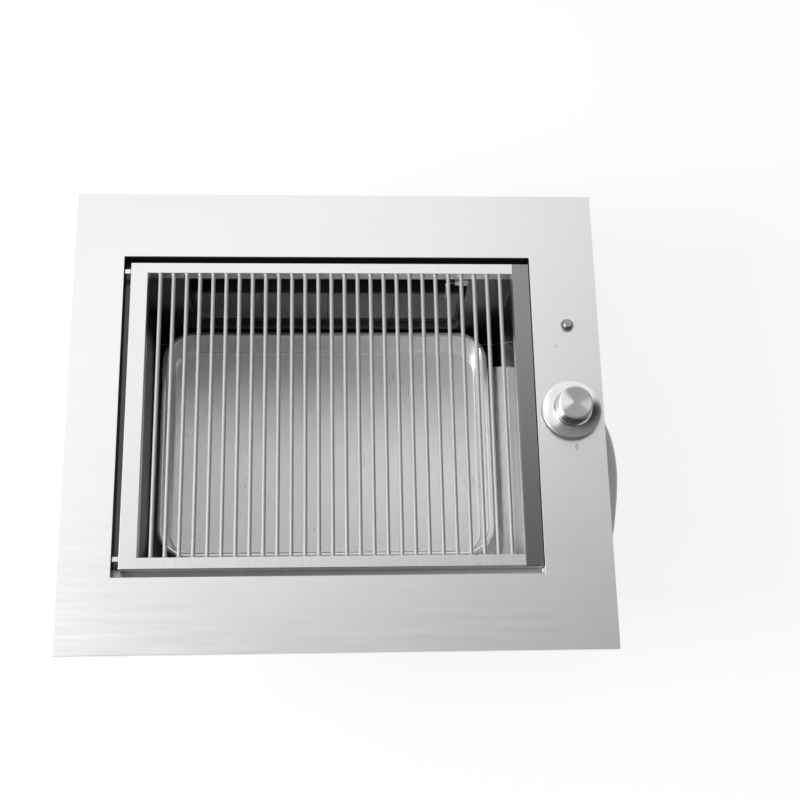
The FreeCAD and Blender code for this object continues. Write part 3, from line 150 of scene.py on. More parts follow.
class Finish:
    """A material being made: a Principled shader and the nodes that feed it."""

    def __init__(self, name, **constants):
        self.material = bpy.data.materials.new(name)
        self.material.use_nodes = True
        self.tree = self.material.node_tree
        self.shader = self.tree.nodes["Principled BSDF"]
        self.set(**constants)
        self.place = add_node(self.tree, "ShaderNodeTexCoord", output="Object")

    def set(self, **values):
        """Set the shader's sockets, by their names with underscores for spaces."""
        for name, value in values.items():
            plug(self.tree, self.shader.inputs[name.replace("_", " ")], value)
        return self

    def noise(self, scale, detail, stretch=(1, 1, 1)):
        """Noise from 0 to 1 in object space; stretch packs it more tightly along an axis."""
        moved = {"Vector": self.place, "Scale": stretch}
        where = add_node(self.tree, "ShaderNodeMapping", moved)
        inputs = {"Vector": where, "Scale": scale, "Detail": detail, "Roughness": 0.5}
        return add_node(self.tree, "ShaderNodeTexNoise", inputs)

    def mix(self, share, first, second):
        """A colour between two others."""
        inputs = {0: share, 6: first, 7: second}
        return add_node(self.tree, "ShaderNodeMix", inputs, output=2, data_type="RGBA")

    def relief(self, height, distance, strength=1.0):
        """Raise the surface by a height from 0 to 1, times a distance in metres."""
        inputs = {"Height": height, "Distance": distance, "Strength": strength}
        return self.set(Normal=add_node(self.tree, "ShaderNodeBump", inputs))


def tone(red, green=None, blue=None):
    """A colour on the usual 0 to 255 scale, as the linear colour that a shader works in."""
    given = [red, red if green is None else green, red if blue is None else blue]
    level = np.array(given) / 255
    linear = np.where(level <= 0.04045, level / 12.92, ((level + 0.055) / 1.055) ** 2.4)
    return (*linear.tolist(), 1.0)


# %% [markdown]
# ## Light and ground
# Steel shows what is around it more than its own colour. In the photograph the rim is nearly
# white at the back left and greyer towards the front right corner, so the room is bright on one
# side and dim on the other. The world is a soft ramp of grey in that direction. Its dim side is
# darkest low down, where it shows as the dark flank of the knob. One soft lamp at the left throws
# the shadows, and a faint one overhead fills them. The floor is plain and pale, and a camera ray
# that misses everything finds white.

# %% World, lamps and floor
ROOM_BRIGHT = 1.0
ROOM_DIM_LOW = 0.04
ROOM_DIM_HIGH = 0.27
ROOM_TOP = (0.55, 0.98)
BRIGHT_WAY = (-0.45, 0.90)
BRIGHT_RAMP = (-0.03, 0.28)
LEFT_RAMP = (0.1, 0.4)
LEFT_LIFT = 0.30
FLOOR_HALF = 4.0
FLOOR_GLOW = 0.84
# Both lamps are turned towards the grill. For each: its place, its two lengths and its power.
LAMP_AIM = (0, 0, 0.2)
LAMPS = {
    "left_window": ((-1.8, -0.45, 1.5), (1.0, 1.0), 66),
    "ceiling": ((-0.2, 0.9, 2.3), (1.6, 1.0), 1.5),
}


def make_world():
    """The room as a ramp of grey from one side to the other, and plain white behind the object."""
    world = bpy.data.worlds.new("room")
    world.use_nodes = True
    bpy.context.scene.world = world
    tree = world.node_tree
    x, y, z = add_node(tree, "ShaderNodeTexCoord", output="Object").parts()
    lean = x * BRIGHT_WAY[0] + y * BRIGHT_WAY[1] + (x * -1).between(*LEFT_RAMP) * LEFT_LIFT
    dim = z.between(*ROOM_TOP) * (ROOM_DIM_HIGH - ROOM_DIM_LOW) + ROOM_DIM_LOW
    level = lean.between(*BRIGHT_RAMP) * (ROOM_BRIGHT - dim) + dim
    seen = add_node(tree, "ShaderNodeLightPath", output="Is Camera Ray")
    background = tree.nodes["Background"].inputs
    plug(tree, background["Strength"], seen + (1 - seen) * level)
    plug(tree, background["Color"], (1, 1, 1, 1))


def make_floor():
    """A wide pale floor that keeps the soft shadow and otherwise shows as white."""
    mesh = bpy.data.meshes.new("floor")
    signs = ((-1, -1), (1, -1), (1, 1), (-1, 1))
    corners = [(x * FLOOR_HALF, y * FLOOR_HALF, 0) for x, y in signs]
    mesh.from_pydata(corners, [], [(0, 1, 2, 3)])
    floor = new_object("floor", mesh)
    paper = Finish("floor_paper", Base_Color=tone(246), Roughness=0.9)
    tree = paper.tree
    kinds = ("Is Camera Ray", "Is Glossy Ray", "Is Transmission Ray")
    rays = sum(add_node(tree, "ShaderNodeLightPath", output=kind) for kind in kinds)
    seen = rays.maths("MINIMUM", 1.0) * FLOOR_GLOW
    glow = add_node(tree, "ShaderNodeEmission")
    surface = Value(tree, paper.shader.outputs[0])
    blend = add_node(tree, "ShaderNodeMixShader", (seen, surface, glow))
    plug(tree, tree.nodes["Material Output"].inputs["Surface"], blend)
    mesh.materials.append(paper.material)


make_world()
for name, (place, size, power) in LAMPS.items():
    lamp = bpy.data.lights.new(name, "AREA")
    lamp.shape = "RECTANGLE"
    lamp.size, lamp.size_y = size
    lamp.energy = power
    holder = new_object(name, lamp)
    holder.location = place
    holder.rotation_euler = (Vector(LAMP_AIM) - Vector(place)).to_track_quat("-Z", "Y").to_euler()
make_floor()
bpy.context.scene.view_settings.view_transform = "Standard"
print("lamps", list(LAMPS))

# %% [markdown]
# ## Surfaces from arrays
# A turned part is a profile carried round an axis, a tube is a circle carried along a path, and a
# tray is a section carried round a rounded rectangle. Each is a grid of points, made as one numpy
# array and written into a mesh in one step. Points that fall on each other are merged.


# %% From a grid of points to an object
def grid_faces(rows, columns, wrap_rows, wrap_columns):
    """Quads between neighbouring points of a grid; a wrapped side joins its end to its start."""
    index = np.arange(rows * columns).reshape(rows, columns)
    if wrap_rows:
        index = np.vstack([index, index[:1]])
    if wrap_columns:
        index = np.hstack([index, index[:, :1]])
    corners = (index[:-1, :-1], index[:-1, 1:], index[1:, 1:], index[1:, :-1])
    return np.stack(corners, axis=-1).reshape(-1, 4)


def mesh_from(name, points, faces):
    """A mesh of quads, written in whole arrays."""
    mesh = bpy.data.meshes.new(name)
    mesh.vertices.add(len(points))
    mesh.vertices.foreach_set("co", np.ascontiguousarray(points, np.float32).ravel())
    mesh.loops.add(faces.size)
    mesh.loops.foreach_set("vertex_index", np.ascontiguousarray(faces, np.int32).ravel())
    mesh.polygons.add(len(faces))
    mesh.polygons.foreach_set("loop_start", np.arange(0, faces.size, 4, dtype=np.int32))
    mesh.update(calc_edges=True)
    return mesh


def open_mesh(mesh, distance=1e-7):
    """A mesh opened for changes, with the points that coincide merged."""
    work = bmesh.new()
    work.from_mesh(mesh)
    bmesh.ops.remove_doubles(work, verts=work.verts, dist=distance)
    return work


def write_mesh(work, mesh):
    """Write the changes back."""
    work.to_mesh(mesh)
    work.free()
    return mesh


def close(mesh, fill_ends=False):
    """Merge the points that coincide, fill open ends if asked, and turn every face outwards."""
    work = open_mesh(mesh)
    bmesh.ops.dissolve_degenerate(work, edges=work.edges, dist=1e-8)
    if fill_ends:
        rim = [edge for edge in work.edges if edge.is_boundary]
        bmesh.ops.holes_fill(work, edges=rim, sides=0)
    bmesh.ops.recalc_face_normals(work, faces=work.faces)
    return write_mesh(work, mesh)


def smooth(thing, degrees=35):
    """Shade the faces smooth, but keep the edges that turn by more than an angle sharp."""
    mesh = thing.data
    mesh.polygons.foreach_set("use_smooth", np.ones(len(mesh.polygons), bool))
    mesh.set_sharp_from_angle(angle=math.radians(degrees))
    return thing


def surfaces(name, grids, wrap_rows=False, degrees=35):
    """One object from several grids of points, each closed round its second direction."""
    points, faces, start = [], [], 0
    for grid in grids:
        rows, columns = grid.shape[:2]
        points.append(grid.reshape(-1, 3))
        faces.append(grid_faces(rows, columns, wrap_rows, True) + start)
        start += rows * columns
    mesh = close(mesh_from(name, np.vstack(points), np.vstack(faces)))
    return smooth(new_object(name, mesh), degrees)


def frame_about(axis):
    """Three unit vectors: two across an axis, and the axis."""
    along = np.array(axis, float)
    along /= np.linalg.norm(along)
    helper = np.array((1.0, 0, 0)) if abs(along[0]) < 0.9 else np.array((0, 1.0, 0))
    across = np.cross(along, helper)
    across /= np.linalg.norm(across)
    return across, np.cross(along, across), along


def circle(angle, one, other):
    """Unit vectors e1·cos a + e2·sin a."""
    return np.cos(angle)[None, :, None] * one + np.sin(angle)[None, :, None] * other


def turned_grid(profile, centre, axis, segments=96, reach=None):
    """Points c + r(s)·(e1·cos a + e2·sin a) + h(s)·axis, for a profile (r, h) turned by a.

    reach, where it is given, is a function of the radius and the angle that gives a new radius.
    """
    across, other, along = frame_about(axis)
    angle = np.linspace(0, 2 * np.pi, segments, endpoint=False)
    radius = np.repeat(profile[:, :1], segments, axis=1)
    if reach is not None:
        radius = reach(radius, angle[None, :])
    height = profile[:, 1][:, None, None]
    return np.array(centre) + radius[..., None] * circle(angle, across, other) + height * along


def eased(points, radii, steps):
    """A profile whose corners are rounded: each corner c becomes the curve
    (1-t)^2 * a + 2t(1-t) * c + t^2 * b between points a and b at a radius on its two sides."""
    corner = np.array(points, float)
    reach = np.broadcast_to(np.array(radii, float), (len(corner),))[:, None]
    step = np.linspace(0, 1, steps)[None, :, None]
    sides = []
    for neighbour in (np.roll(corner, 1, axis=0), np.roll(corner, -1, axis=0)):
        way = neighbour - corner
        length = np.maximum(np.linalg.norm(way, axis=1, keepdims=True), 1e-12)
        sides.append(corner + way / length * np.minimum(reach, 0.48 * length))
    start, end = sides[0][:, None, :], sides[1][:, None, :]
    curve = (1 - step) ** 2 * start + 2 * step * (1 - step) * corner[:, None, :] + step**2 * end
    return np.vstack([corner[:1], curve[1:-1].reshape(-1, 2), corner[-1:]])


def dress(thing, finish):
    """Give an object one finish."""
    thing.data.materials.clear()
    thing.data.materials.append(finish.material)


def stand_for(piece, *nodes, finish=None):
    """Let a piece ride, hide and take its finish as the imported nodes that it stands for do."""
    dress(piece, finish or finishes[slot_of[nodes[0]]])
    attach(piece, body_of[nodes[0]])
    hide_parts(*nodes)
    return piece


def made_for(node, manner, grids, **wrapping):
    """Surfaces in a node's place, named after it and after the way the real one is made."""
    return stand_for(surfaces(f"{node}_{manner}", grids, **wrapping), node)


# %% [markdown]
# ## Brushed steel
# Brushing leaves fine scratches in one direction. They spread a highlight across themselves and
# make faint streaks. Noise that is packed tightly across the brushing and drawn out along it gives
# both. A larger, softer noise stands for the clouds that handling leaves on steel.

# %% Brushed steel
def brushed_steel(name, colour, roughness, along=0):
    """Steel brushed along one axis: 0 for X, 1 for Y, 2 for Z."""
    finish = Finish(name, Metallic=1.0)
    fine = [1.0 if axis == along else 60.0 for axis in range(3)]
    broad = [0.6 if axis == along else 9.0 for axis in range(3)]
    scratches = finish.noise(22, 2, fine)
    streaks = finish.noise(18, 3, broad)
    clouds = finish.noise(7, 2)
    dark = tuple(level * 0.9 for level in colour[:3])
    share = streaks * 0.55 + clouds * 0.25 + scratches * 0.2
    finish.tinted = finish.mix(share, (*dark, 1), colour)
    rough = (scratches - 0.5) * 0.16 + (streaks - 0.5) * 0.1 + roughness
    finish.set(Base_Color=finish.tinted, Roughness=rough)
    return finish.relief(scratches, 0.02 * MM, 0.6)


# %% [markdown]
# ## The rim plate's marks
# Two small marks are etched into the right-hand band: a flame in front of the knob, and a spark
# beside the igniter's button. The flame is a drop whose half width grows from its foot and then
# narrows to a point. The spark is a star: its arms lie where the product of two distances is small.

# %% Rim steel with its etched marks
FLAME_PLACE = (0.2310, -0.0362)
FLAME_HEIGHT = 6.8 * MM
FLAME_HALF = 3.6 * MM
FLAME_LINE = 0.9 * MM
SPARK_PLACE = (0.2165, 0.0675)
SPARK_WIDTH = 2.2 * MM
SPARK_HEIGHT = 2.8 * MM
SPARK_CORE = 2.2e-7
PLATE_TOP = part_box("top_plate")[1].z


def etched_rim():
    """Brushed steel with a small flame and a small spark etched dark."""
    finish = brushed_steel("rim_steel", tone(233, 233, 235), 0.34)
    x, y, z = finish.place.parts()
    height = ((y - FLAME_PLACE[1]) / FLAME_HEIGHT + 0.5).maths("MAXIMUM", 0.0)
    left_over = (1 - height).maths("MAXIMUM", 0.0)
    half = height**0.5 * left_over**0.8 * FLAME_HALF
    aside = abs(x - FLAME_PLACE[0])
    flame = (aside < half) * (1 - (aside < half - FLAME_LINE) * (height < 0.62))
    over = abs(x - SPARK_PLACE[0])
    up = abs(y - SPARK_PLACE[1])
    star = (over * up < SPARK_CORE) * (over < SPARK_WIDTH) * (up < SPARK_HEIGHT)
    marks = (flame + star).maths("MINIMUM", 1.0) * (z > PLATE_TOP - 0.2 * MM)
    finish.set(Base_Color=finish.mix(marks * 0.5, finish.tinted, tone(84, 84, 86)))
    return finish


# %% [markdown]
# ## The grate's bars
# The grate's frame is the same steel, brushed along its bars. Its right-hand side bar is painted
# a much darker grey as shade, darker towards the front.

# %% Grate steel
grate_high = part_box("grate_frame")[1]
SIDE_BAR = 17 * MM


def grate_steel():
    """Brushed bars, with painted shade on the right-hand one."""
    finish = brushed_steel("grate_steel", tone(226, 226, 227), 0.30, along=1)
    x, y, z = finish.place.parts()
    # Painted shade: the right-hand bar's top is painted a darker grey, darker still towards the
    # front.
    painted_shade_bar = (x > grate_high.x - SIDE_BAR) * (z > grate_high.z - 2 * MM)
    darker_to_front = (0.16 - y).between(0.0, 0.32)
    shade = finish.mix(darker_to_front, tone(140, 140, 138), tone(116, 115, 115))
    finish.set(Base_Color=finish.mix(painted_shade_bar, finish.tinted, shade))
    return finish


finishes = {
    "rim_steel": etched_rim(),
    "sheet_steel": brushed_steel("sheet_steel", tone(198, 198, 200), 0.32, along=2),
    "grate_steel": grate_steel(),
    "rod_steel": brushed_steel("rod_steel", tone(170, 170, 171), 0.60, along=1).set(Metallic=0.5),
}
print("finishes", list(finishes))

# %% [markdown]
# ## The firebox's steel
# The firebox's rear wall is a dark grey, painted darker towards the bottom as shade. The strip of
# floor before it and the back of its right side are painted dark as shade and the reflection of
# shade, up to a slanting line, with a thin painted highlight across them. The left side is painted
# a duller grey as shade. The rest of the right side and of the floor is painted pale and matte as a
# bright reflection, with painted shade towards the top of the wall, and streaked by wiping. The
# ledge round the grate is painted grey as shade, darker at the front. The outer faces are plain
# sheet.

# %% Firebox steel
LEDGE_LEVEL = PLATE_TOP - 16 * MM
# The slanting line where the painted shade begins on the right wall and the floor, and the line of
# the thin painted highlight.
PAINTED_SHADE_LINE = 0.1215
PAINTED_SHADE_SLANT = 0.352
PAINTED_HIGHLIGHT_LINE = 0.1492
WELL_CENTRE = (-0.0085, 0.00125)
WELL_HALF = (0.1912, 0.1499)
tray_low, tray_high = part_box("drip_tray")


def smoked_steel():
    """Polished sheet with painted light and shade: bright in front and at the right, dark at the
    rear, a duller grey at the left.
    """
    finish = Finish("smoked_steel")
    x, y, z = finish.place.parts()
    clouds = finish.noise(14, 4)
    streaks = finish.noise(14, 3, (16, 0.5, 16))
    scratches = finish.noise(22, 2, (60, 1, 60))
    aside, ahead = abs(x - WELL_CENTRE[0]), abs(y - WELL_CENTRE[1])
    inside = (aside < WELL_HALF[0]) * (ahead < WELL_HALF[1]) * (z > 0.5 * MM)
    rear = (y > 0.1495) * inside
    left = (x < -0.15) * inside
    right = (x > 0.18) * inside
    floor = (z < 1.5 * MM) * (aside < WELL_HALF[0] - 0.4 * MM)
    ledge = (z > LEDGE_LEVEL - 1.5 * MM) * (z < PLATE_TOP - 2 * MM)
    reach = y + z * PAINTED_SHADE_SLANT
    # Painted shade: behind a slanting line the right wall and the floor strip are painted dark as
    # shade and its reflection, with a thin painted highlight across the dark part.
    painted_shade_edge = (reach + (clouds - 0.5) * 0.003).between(PAINTED_SHADE_LINE - 0.001, PAINTED_SHADE_LINE + 0.001)
    painted_highlight = abs(reach - PAINTED_HIGHLIGHT_LINE) < 0.6 * MM
    wiped = streaks.between(0.34, 0.62)
    # Painted light and shade: the lower right wall and the floor are painted near white as a bright
    # reflection, and the top of the wall is painted darker as shade.
    low_wall_painted_light = finish.mix(wiped, tone(230, 230, 231), tone(255))
    high_wall_painted_shade = finish.mix(wiped, tone(160, 159, 160), tone(196))
    bright = finish.mix(z.between(0.090, 0.125), low_wall_painted_light, high_wall_painted_shade)
    # Painted shade: the left wall is painted a duller grey.
    left_painted_shade = finish.mix(left, bright, finish.mix(clouds, tone(120, 119, 117), tone(148, 147, 144)))
    # Painted shade: the rear wall is painted darker towards the bottom.
    rear_painted_shade = finish.mix(z.between(0.09, 0.13), tone(46, 45, 44), tone(118, 117, 115))
    side_painted_shade = finish.mix(painted_highlight, tone(62, 61, 60), tone(214, 213, 211))
    walls_with_painted_shade = finish.mix(rear, finish.mix(painted_shade_edge * (right + floor), left_painted_shade, side_painted_shade), rear_painted_shade)
    # Painted shade: the ledge round the grate is painted grey, and darker at the front.
    ledge_painted_shade = finish.mix((y < -0.15) * ledge, tone(84), tone(168, 167, 166))
    lined = finish.mix(ledge, walls_with_painted_shade, ledge_painted_shade)
    outside = (1 - inside) * (1 - ledge)
    plain = finish.mix(streaks * 0.5 + clouds * 0.5, tone(168, 168, 170), tone(200, 200, 202))
    # The pale painted reflection is also made mostly not metallic.
    pale = (1 - painted_shade_edge) * (right + floor) * (1 - rear) * (1 - ledge)
    finish.set(Base_Color=finish.mix(outside, lined, plain), Metallic=1 - pale * 0.85)
    dull = rear * 0.3 + left * 0.16 + ledge * 0.2 + right * 0.12 + floor * 0.2 + outside * 0.28
    finish.set(Roughness=dull + (scratches - 0.5) * 0.06 + 0.14)
    return finish.relief(scratches, 0.01 * MM, 0.8)


# %% [markdown]
# ## The tray's metal
# The drip tray is pressed from thin bright sheet with a satin skin. Its floor isn't flat: it was
# drawn down and sprang back, so it is dished, and the light runs over it in soft waves. The dish
# is a relief that rises with the square of the distance behind the middle, and less to its left.

# %% Tray metal
TRAY_DISH = 0.76
TRAY_SIDE = 0.22


def pressed_metal():
    """Satin pressed sheet, dished and softly waved, with fine drawing lines."""
    finish = Finish("tray_metal", Metallic=0.62)
    x, y, z = finish.place.parts()
    lines = finish.noise(26, 2, (30, 1.2, 30))
    waves = finish.noise(10, 1, (1, 0.6, 1))
    blots = finish.noise(16, 4)
    middle = (tray_low + tray_high) / 2
    back = (y - middle.y).maths("MAXIMUM", 0.0)
    leftward = (middle.x - x).maths("MAXIMUM", 0.0)
    flat = z < tray_low.z + 2 * MM
    wall = z > tray_low.z + 1.4 * MM
    dish = (back * back * TRAY_DISH + leftward * leftward * TRAY_SIDE) * flat
    shade = lines * 0.3 + blots * 0.7
    skin = finish.mix(shade, tone(240, 238, 235), tone(254, 253, 251))
    rough = (lines - 0.5) * 0.08 + (blots - 0.5) * 0.10 + 0.30 - wall * 0.12
    finish.set(Base_Color=finish.mix(wall, skin, tone(244, 243, 242)), Roughness=rough)
    return finish.relief(dish + waves * (0.4 * MM) + lines * (0.008 * MM), 1.0)


# %% [markdown]
# ## The knob's metal
# A knob that is turned on a lathe keeps rings from the tool, and they are a fine relief on its face.
# Such rings throw the light into two bright wedges that meet at the centre; here the wedges are
# painted highlights in the face's colour, with painted shade between them.

# %% Turned knob metal
knob_low, knob_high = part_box("knob")
knob_centre = (knob_low + knob_high) / 2
LEFT_WEDGE = 171
RIGHT_WEDGE = -10
RING_PITCH = 0.55 * MM
KNOB_FACE = 16.5


def turned_metal():
    """Polished metal with fine lathe rings about the knob's axis, and painted highlight wedges on its
    face.
    """
    finish = Finish("knob_metal", Metallic=1.0)
    x, y, z = finish.place.parts()
    across = x - knob_centre.x
    depth = y - knob_centre.y
    from_axis = (across * across + depth * depth) ** 0.5

    def toward(degrees):
        """The cosine of the angle between a point's direction and another."""
        way = math.radians(degrees)
        reach = depth * math.sin(way) + across * math.cos(way)
        return reach / (from_axis + 0.8 * MM)

    rings = (from_axis * (2 * math.pi / RING_PITCH)).maths("SINE") * 0.5 + 0.5
    clouds = finish.noise(60, 3)
    face = (z > knob_high.z - MM) * (from_axis < (KNOB_FACE - 0.3) * MM)
    plain = finish.mix(clouds, tone(222, 224, 222), tone(236, 237, 235))
    # Painted highlights: a bright wedge to the left and a lighter one to the right, with painted
    # shade between them.
    right = toward(RIGHT_WEDGE).between(0.74, 1.0)
    ground = finish.mix(right, tone(174, 176, 173), tone(222, 225, 222))
    face_painted_wedges = finish.mix(toward(LEFT_WEDGE).between(0.58, 0.93), ground, tone(253))
    rough = (clouds - 0.5) * 0.05 + 0.17 + face * 0.15
    finish.set(Base_Color=finish.mix(face, plain, face_painted_wedges), Roughness=rough)
    return finish.relief(rings * face, 0.03 * MM, 0.8)


# %% [markdown]
# ## The other finishes
# Cast metal is grainy, brass is softly worn, foam is full of pores, and moulded plastic has a fine
# even grain. One function makes them all: two tones mixed by a grain and by soft clouds, a
# roughness that drifts a little, and the grain as a relief.

# %% Brass, cast metal, plated steel, plastics, foam
def grainy(name, dark, light, roughness, scale, depth, metallic=0.0):
    """A finish with an even grain: two tones, a roughness that drifts, and a fine relief."""
    finish = Finish(name, Metallic=metallic)
    grain = finish.noise(scale, 3)
    clouds = finish.noise(28, 3)
    colour = finish.mix(clouds * 0.7 + grain * 0.3, dark, light)
    finish.set(Base_Color=colour, Roughness=(clouds - 0.5) * 0.14 + roughness)
    return finish.relief(grain, depth * MM, 0.6)


def plated_steel():
    """Zinc plate: bright, with a faint bloom of yellow and blue."""
    finish = Finish("zinc_steel", Metallic=1.0)
    bloom = finish.noise(120, 2)
    colour = finish.mix(bloom, tone(196, 198, 204), tone(214, 212, 200))
    finish.set(Base_Color=colour, Roughness=(bloom - 0.5) * 0.1 + 0.26)
    return finish.relief(bloom, 0.02 * MM, 0.4)


def capped_plastic():
    """The igniter's case: black below the plate, and a metal ring where it shows above it."""
    finish = grainy("igniter_case", tone(22), tone(34), 0.46, 1400, 0.03)
    above = finish.place.parts()[2] > PLATE_TOP - 0.05 * MM
    ring = finish.mix(finish.noise(300, 2), tone(136, 137, 139), tone(164, 165, 167))
    finish.set(Base_Color=finish.mix(above, tone(27), ring), Metallic=above)
    return finish


# The darker tone, the lighter tone, roughness, the grain's scale and depth in mm, and metallic.
GRAINY = {
    "brass": (tone(176, 142, 84), tone(204, 170, 108), 0.3, 700, 0.02, 1.0),
    "valve_metal": (tone(150), tone(178), 0.5, 800, 0.08, 1.0),
    "pipe_metal": (tone(190), tone(212), 0.34, 500, 0.02, 1.0),
    "button_metal": (tone(146), tone(174), 0.34, 900, 0.02, 1.0),
    "tie_plastic": (tone(20), tone(30), 0.4, 900, 0.03),
    "seal_foam": (tone(26), tone(48), 0.85, 700, 0.3),
    "lead_silicone": (tone(150, 44, 34), tone(172, 58, 44), 0.42, 300, 0.02),
    "burner_steel": (tone(30), tone(52, 51, 50), 0.5, 400, 0.05, 0.7),
    "white_ceramic": (tone(226, 223, 214), tone(240, 238, 231), 0.16, 200, 0.01),
}
finishes |= {name: grainy(name, *values) for name, values in GRAINY.items()}
finishes["white_ceramic"].set(Coat_Weight=0.5)
finishes |= {"tray_metal": pressed_metal(), "knob_metal": turned_metal()}
finishes |= {"zinc_steel": plated_steel(), "black_plastic": capped_plastic()}
print("finishes", len(finishes))

# %% [markdown]
# ## Pierced ceramic
# Gas burns on the face of each ceramic tile, after it has passed through hundreds of small holes
# in staggered rows. A point's distance to the nearest hole comes from the remainders of its place
# along the two directions of the rows.

# %% Burner tiles
HOLE_PITCH = 2.6 * MM
ROW_PITCH = HOLE_PITCH * math.sqrt(3) / 2
HOLE_RADIUS = 0.75 * MM


def pierced_ceramic():
    """Holes in staggered rows, painted dark as the shade inside them, on a grey, scorched ground."""
    finish = Finish("ceramic", Roughness=0.85)
    x, _, z = finish.place.parts()
    row = (z / ROW_PITCH).maths("ROUND")
    shift = (row * 0.5).maths("FRACT") * HOLE_PITCH
    across = (x + shift + 1.0).maths("WRAP", HOLE_PITCH, 0.0) - HOLE_PITCH / 2
    up = z - row * ROW_PITCH
    gap = (across * across + up * up) ** 0.5
    ground = gap.between(HOLE_RADIUS * 0.8, HOLE_RADIUS * 1.25)
    body = finish.mix(finish.noise(30, 3), tone(116, 114, 110), tone(160, 157, 151))
    # Painted shade: each hole is painted near black.
    finish.set(Base_Color=finish.mix(ground, tone(22, 21, 20), body))
    return finish.relief(ground, 0.8 * MM, 0.8)


finishes["ceramic"] = pierced_ceramic()

# %% [markdown]
# ## The gas hose
# The hose is rubber inside a woven metal braid. It leaves the union below the right-hand band
# towards the front, bends down and round under the rim, and runs back along the floor. The
# photograph shows only the part beyond the rim. The rest is a neat coil of two layers behind the
# firebox, held by a strap. One smooth curve runs through the whole route.

# %% The route and the curve
HOSE_RADIUS = 6.0 * MM
COIL_CENTRE = (0.205, 0.229)
COIL_INNER = 62.0 * MM
COIL_STEP = 13.0 * MM
COIL_END = 0.02766
COIL_LEVELS = (0.0074, 0.0074, 0.0200, 0.0200, COIL_END)
POINTS_PER_TURN = 16

run_points = [
    (0.2275, -0.0823, 0.158),
    (0.2275, -0.1263, 0.158),
    (0.237, -0.163, 0.131),
    (0.255, -0.183, 0.084),
    (0.273, -0.168, 0.037),
    (0.287, -0.128, 0.007),
    (0.3005, -0.084, 0.0065),
    (0.3075, -0.044, 0.0065),
    (0.3115, -0.006, 0.0065),
    (0.3085, 0.030, 0.0065),
    (0.296, 0.062, 0.0065),
    (0.286, 0.104, 0.0065),
    (0.28325, 0.149, 0.0068),
    (0.28325, 0.199, 0.0074),
    (0.28325, 0.222, 0.0074),
]


def coil_control_points():
    """Control points of two turns: the spiral comes in, climbs a layer, and goes out again."""
    # A curve of this order passes inside its control points, so each radius is made larger.
    pull = math.cos(math.pi / POINTS_PER_TURN) * 0.75 + 0.25
    quarter = 4 * np.arange(1, 2 * POINTS_PER_TURN + 1) / POINTS_PER_TURN
    radius = (COIL_INNER + COIL_STEP * abs(quarter - 5) / 4) / pull
    x = COIL_CENTRE[0] + radius * np.cos(quarter * np.pi / 2)
    y = COIL_CENTRE[1] + radius * np.sin(quarter * np.pi / 2)
    return list(zip(x, y, np.interp(quarter, (0, 4, 6, 7, 8), COIL_LEVELS)))


def path_through(name, points):
    """The points, in order, of one smooth open curve with these control points."""
    data = bpy.data.curves.new(name, "CURVE")
    data.dimensions = "3D"
    data.resolution_u = 10
    spline = data.splines.new("NURBS")
    spline.points.add(len(points) - 1)
    for point, place in zip(spline.points, points):
        point.co = (*place, 1)
    spline.order_u = 3
    spline.use_endpoint_u = True
    curve = new_object(name, data)
    graph = bpy.context.evaluated_depsgraph_get()
    mesh = bpy.data.meshes.new_from_object(curve.evaluated_get(graph))
    places = np.zeros(len(mesh.vertices) * 3, np.float32)
    mesh.vertices.foreach_get("co", places)
    bpy.data.meshes.remove(mesh)
    bpy.data.objects.remove(curve)
    return places.reshape(-1, 3).astype(float)


def step_lengths(path):
    """The distance from each point of a path to the next."""
    return np.linalg.norm(np.diff(path, axis=0), axis=1)


coil_end = (COIL_CENTRE[0] + COIL_INNER + COIL_STEP * 3 / 4, COIL_CENTRE[1], COIL_END)
tail = (coil_end[0], coil_end[1] + 2 * HOSE_RADIUS, COIL_END)
hose_path = path_through(
    "hose_route", [*run_points, *coil_control_points()[:-1], coil_end, tail]
)
print("hose path", len(hose_path), "points,", round(step_lengths(hose_path).sum(), 3), "m")


# %% [markdown]
# A frame is carried along the path without twist: at each step the last sideways vector is laid
# flat against the new direction. The tube's UV map holds the distance along the hose and the turn
# round it, and the braid is drawn in those two numbers. Two families of strands run round the hose
# in opposite ways, and each passes over and under the other in turn.

# %% The braid
STRANDS_ROUND = 12
STRAND_PITCH = 4.2 * MM


def carried_frames(path):
    """For each point of a path, two vectors across it that are carried along without twist."""
    way = np.gradient(path, axis=0)
    way /= np.linalg.norm(way, axis=1, keepdims=True)
    side = np.zeros_like(path)
    side[0] = frame_about(way[0])[0]
    for index in range(1, len(path)):
        flat = side[index - 1] - way[index] * side[index - 1].dot(way[index])
        side[index] = flat / np.linalg.norm(flat)
    return side, np.cross(way, side)


def tube_grid(path, radius, angle):
    """Points p(s) + r·(a·cos t + b·sin t) round a path."""
    side, other = carried_frames(path)
    return path[:, None] + radius * circle(angle, side[:, None], other[:, None])


def tube_along(name, path, radius, segments=32):
    """A closed tube round a path, with a UV map of the length along it and the turn round it."""
    angle = np.linspace(0, 2 * np.pi, segments + 1)
    faces = grid_faces(len(path), segments + 1, False, False)
    mesh = mesh_from(name, tube_grid(path, radius, angle).reshape(-1, 3), faces)
    length = np.concatenate([[0], np.cumsum(step_lengths(path))])
    along = np.repeat(length, segments + 1)
    round_it = np.tile(angle / (2 * np.pi), len(path))
    pairs = np.stack([along, round_it], axis=-1)[faces.ravel()]
    chart = mesh.uv_layers.new(name="UVMap")
    chart.data.foreach_set("uv", pairs.astype(np.float32).ravel())
    return smooth(new_object(name, close(mesh, fill_ends=True)))


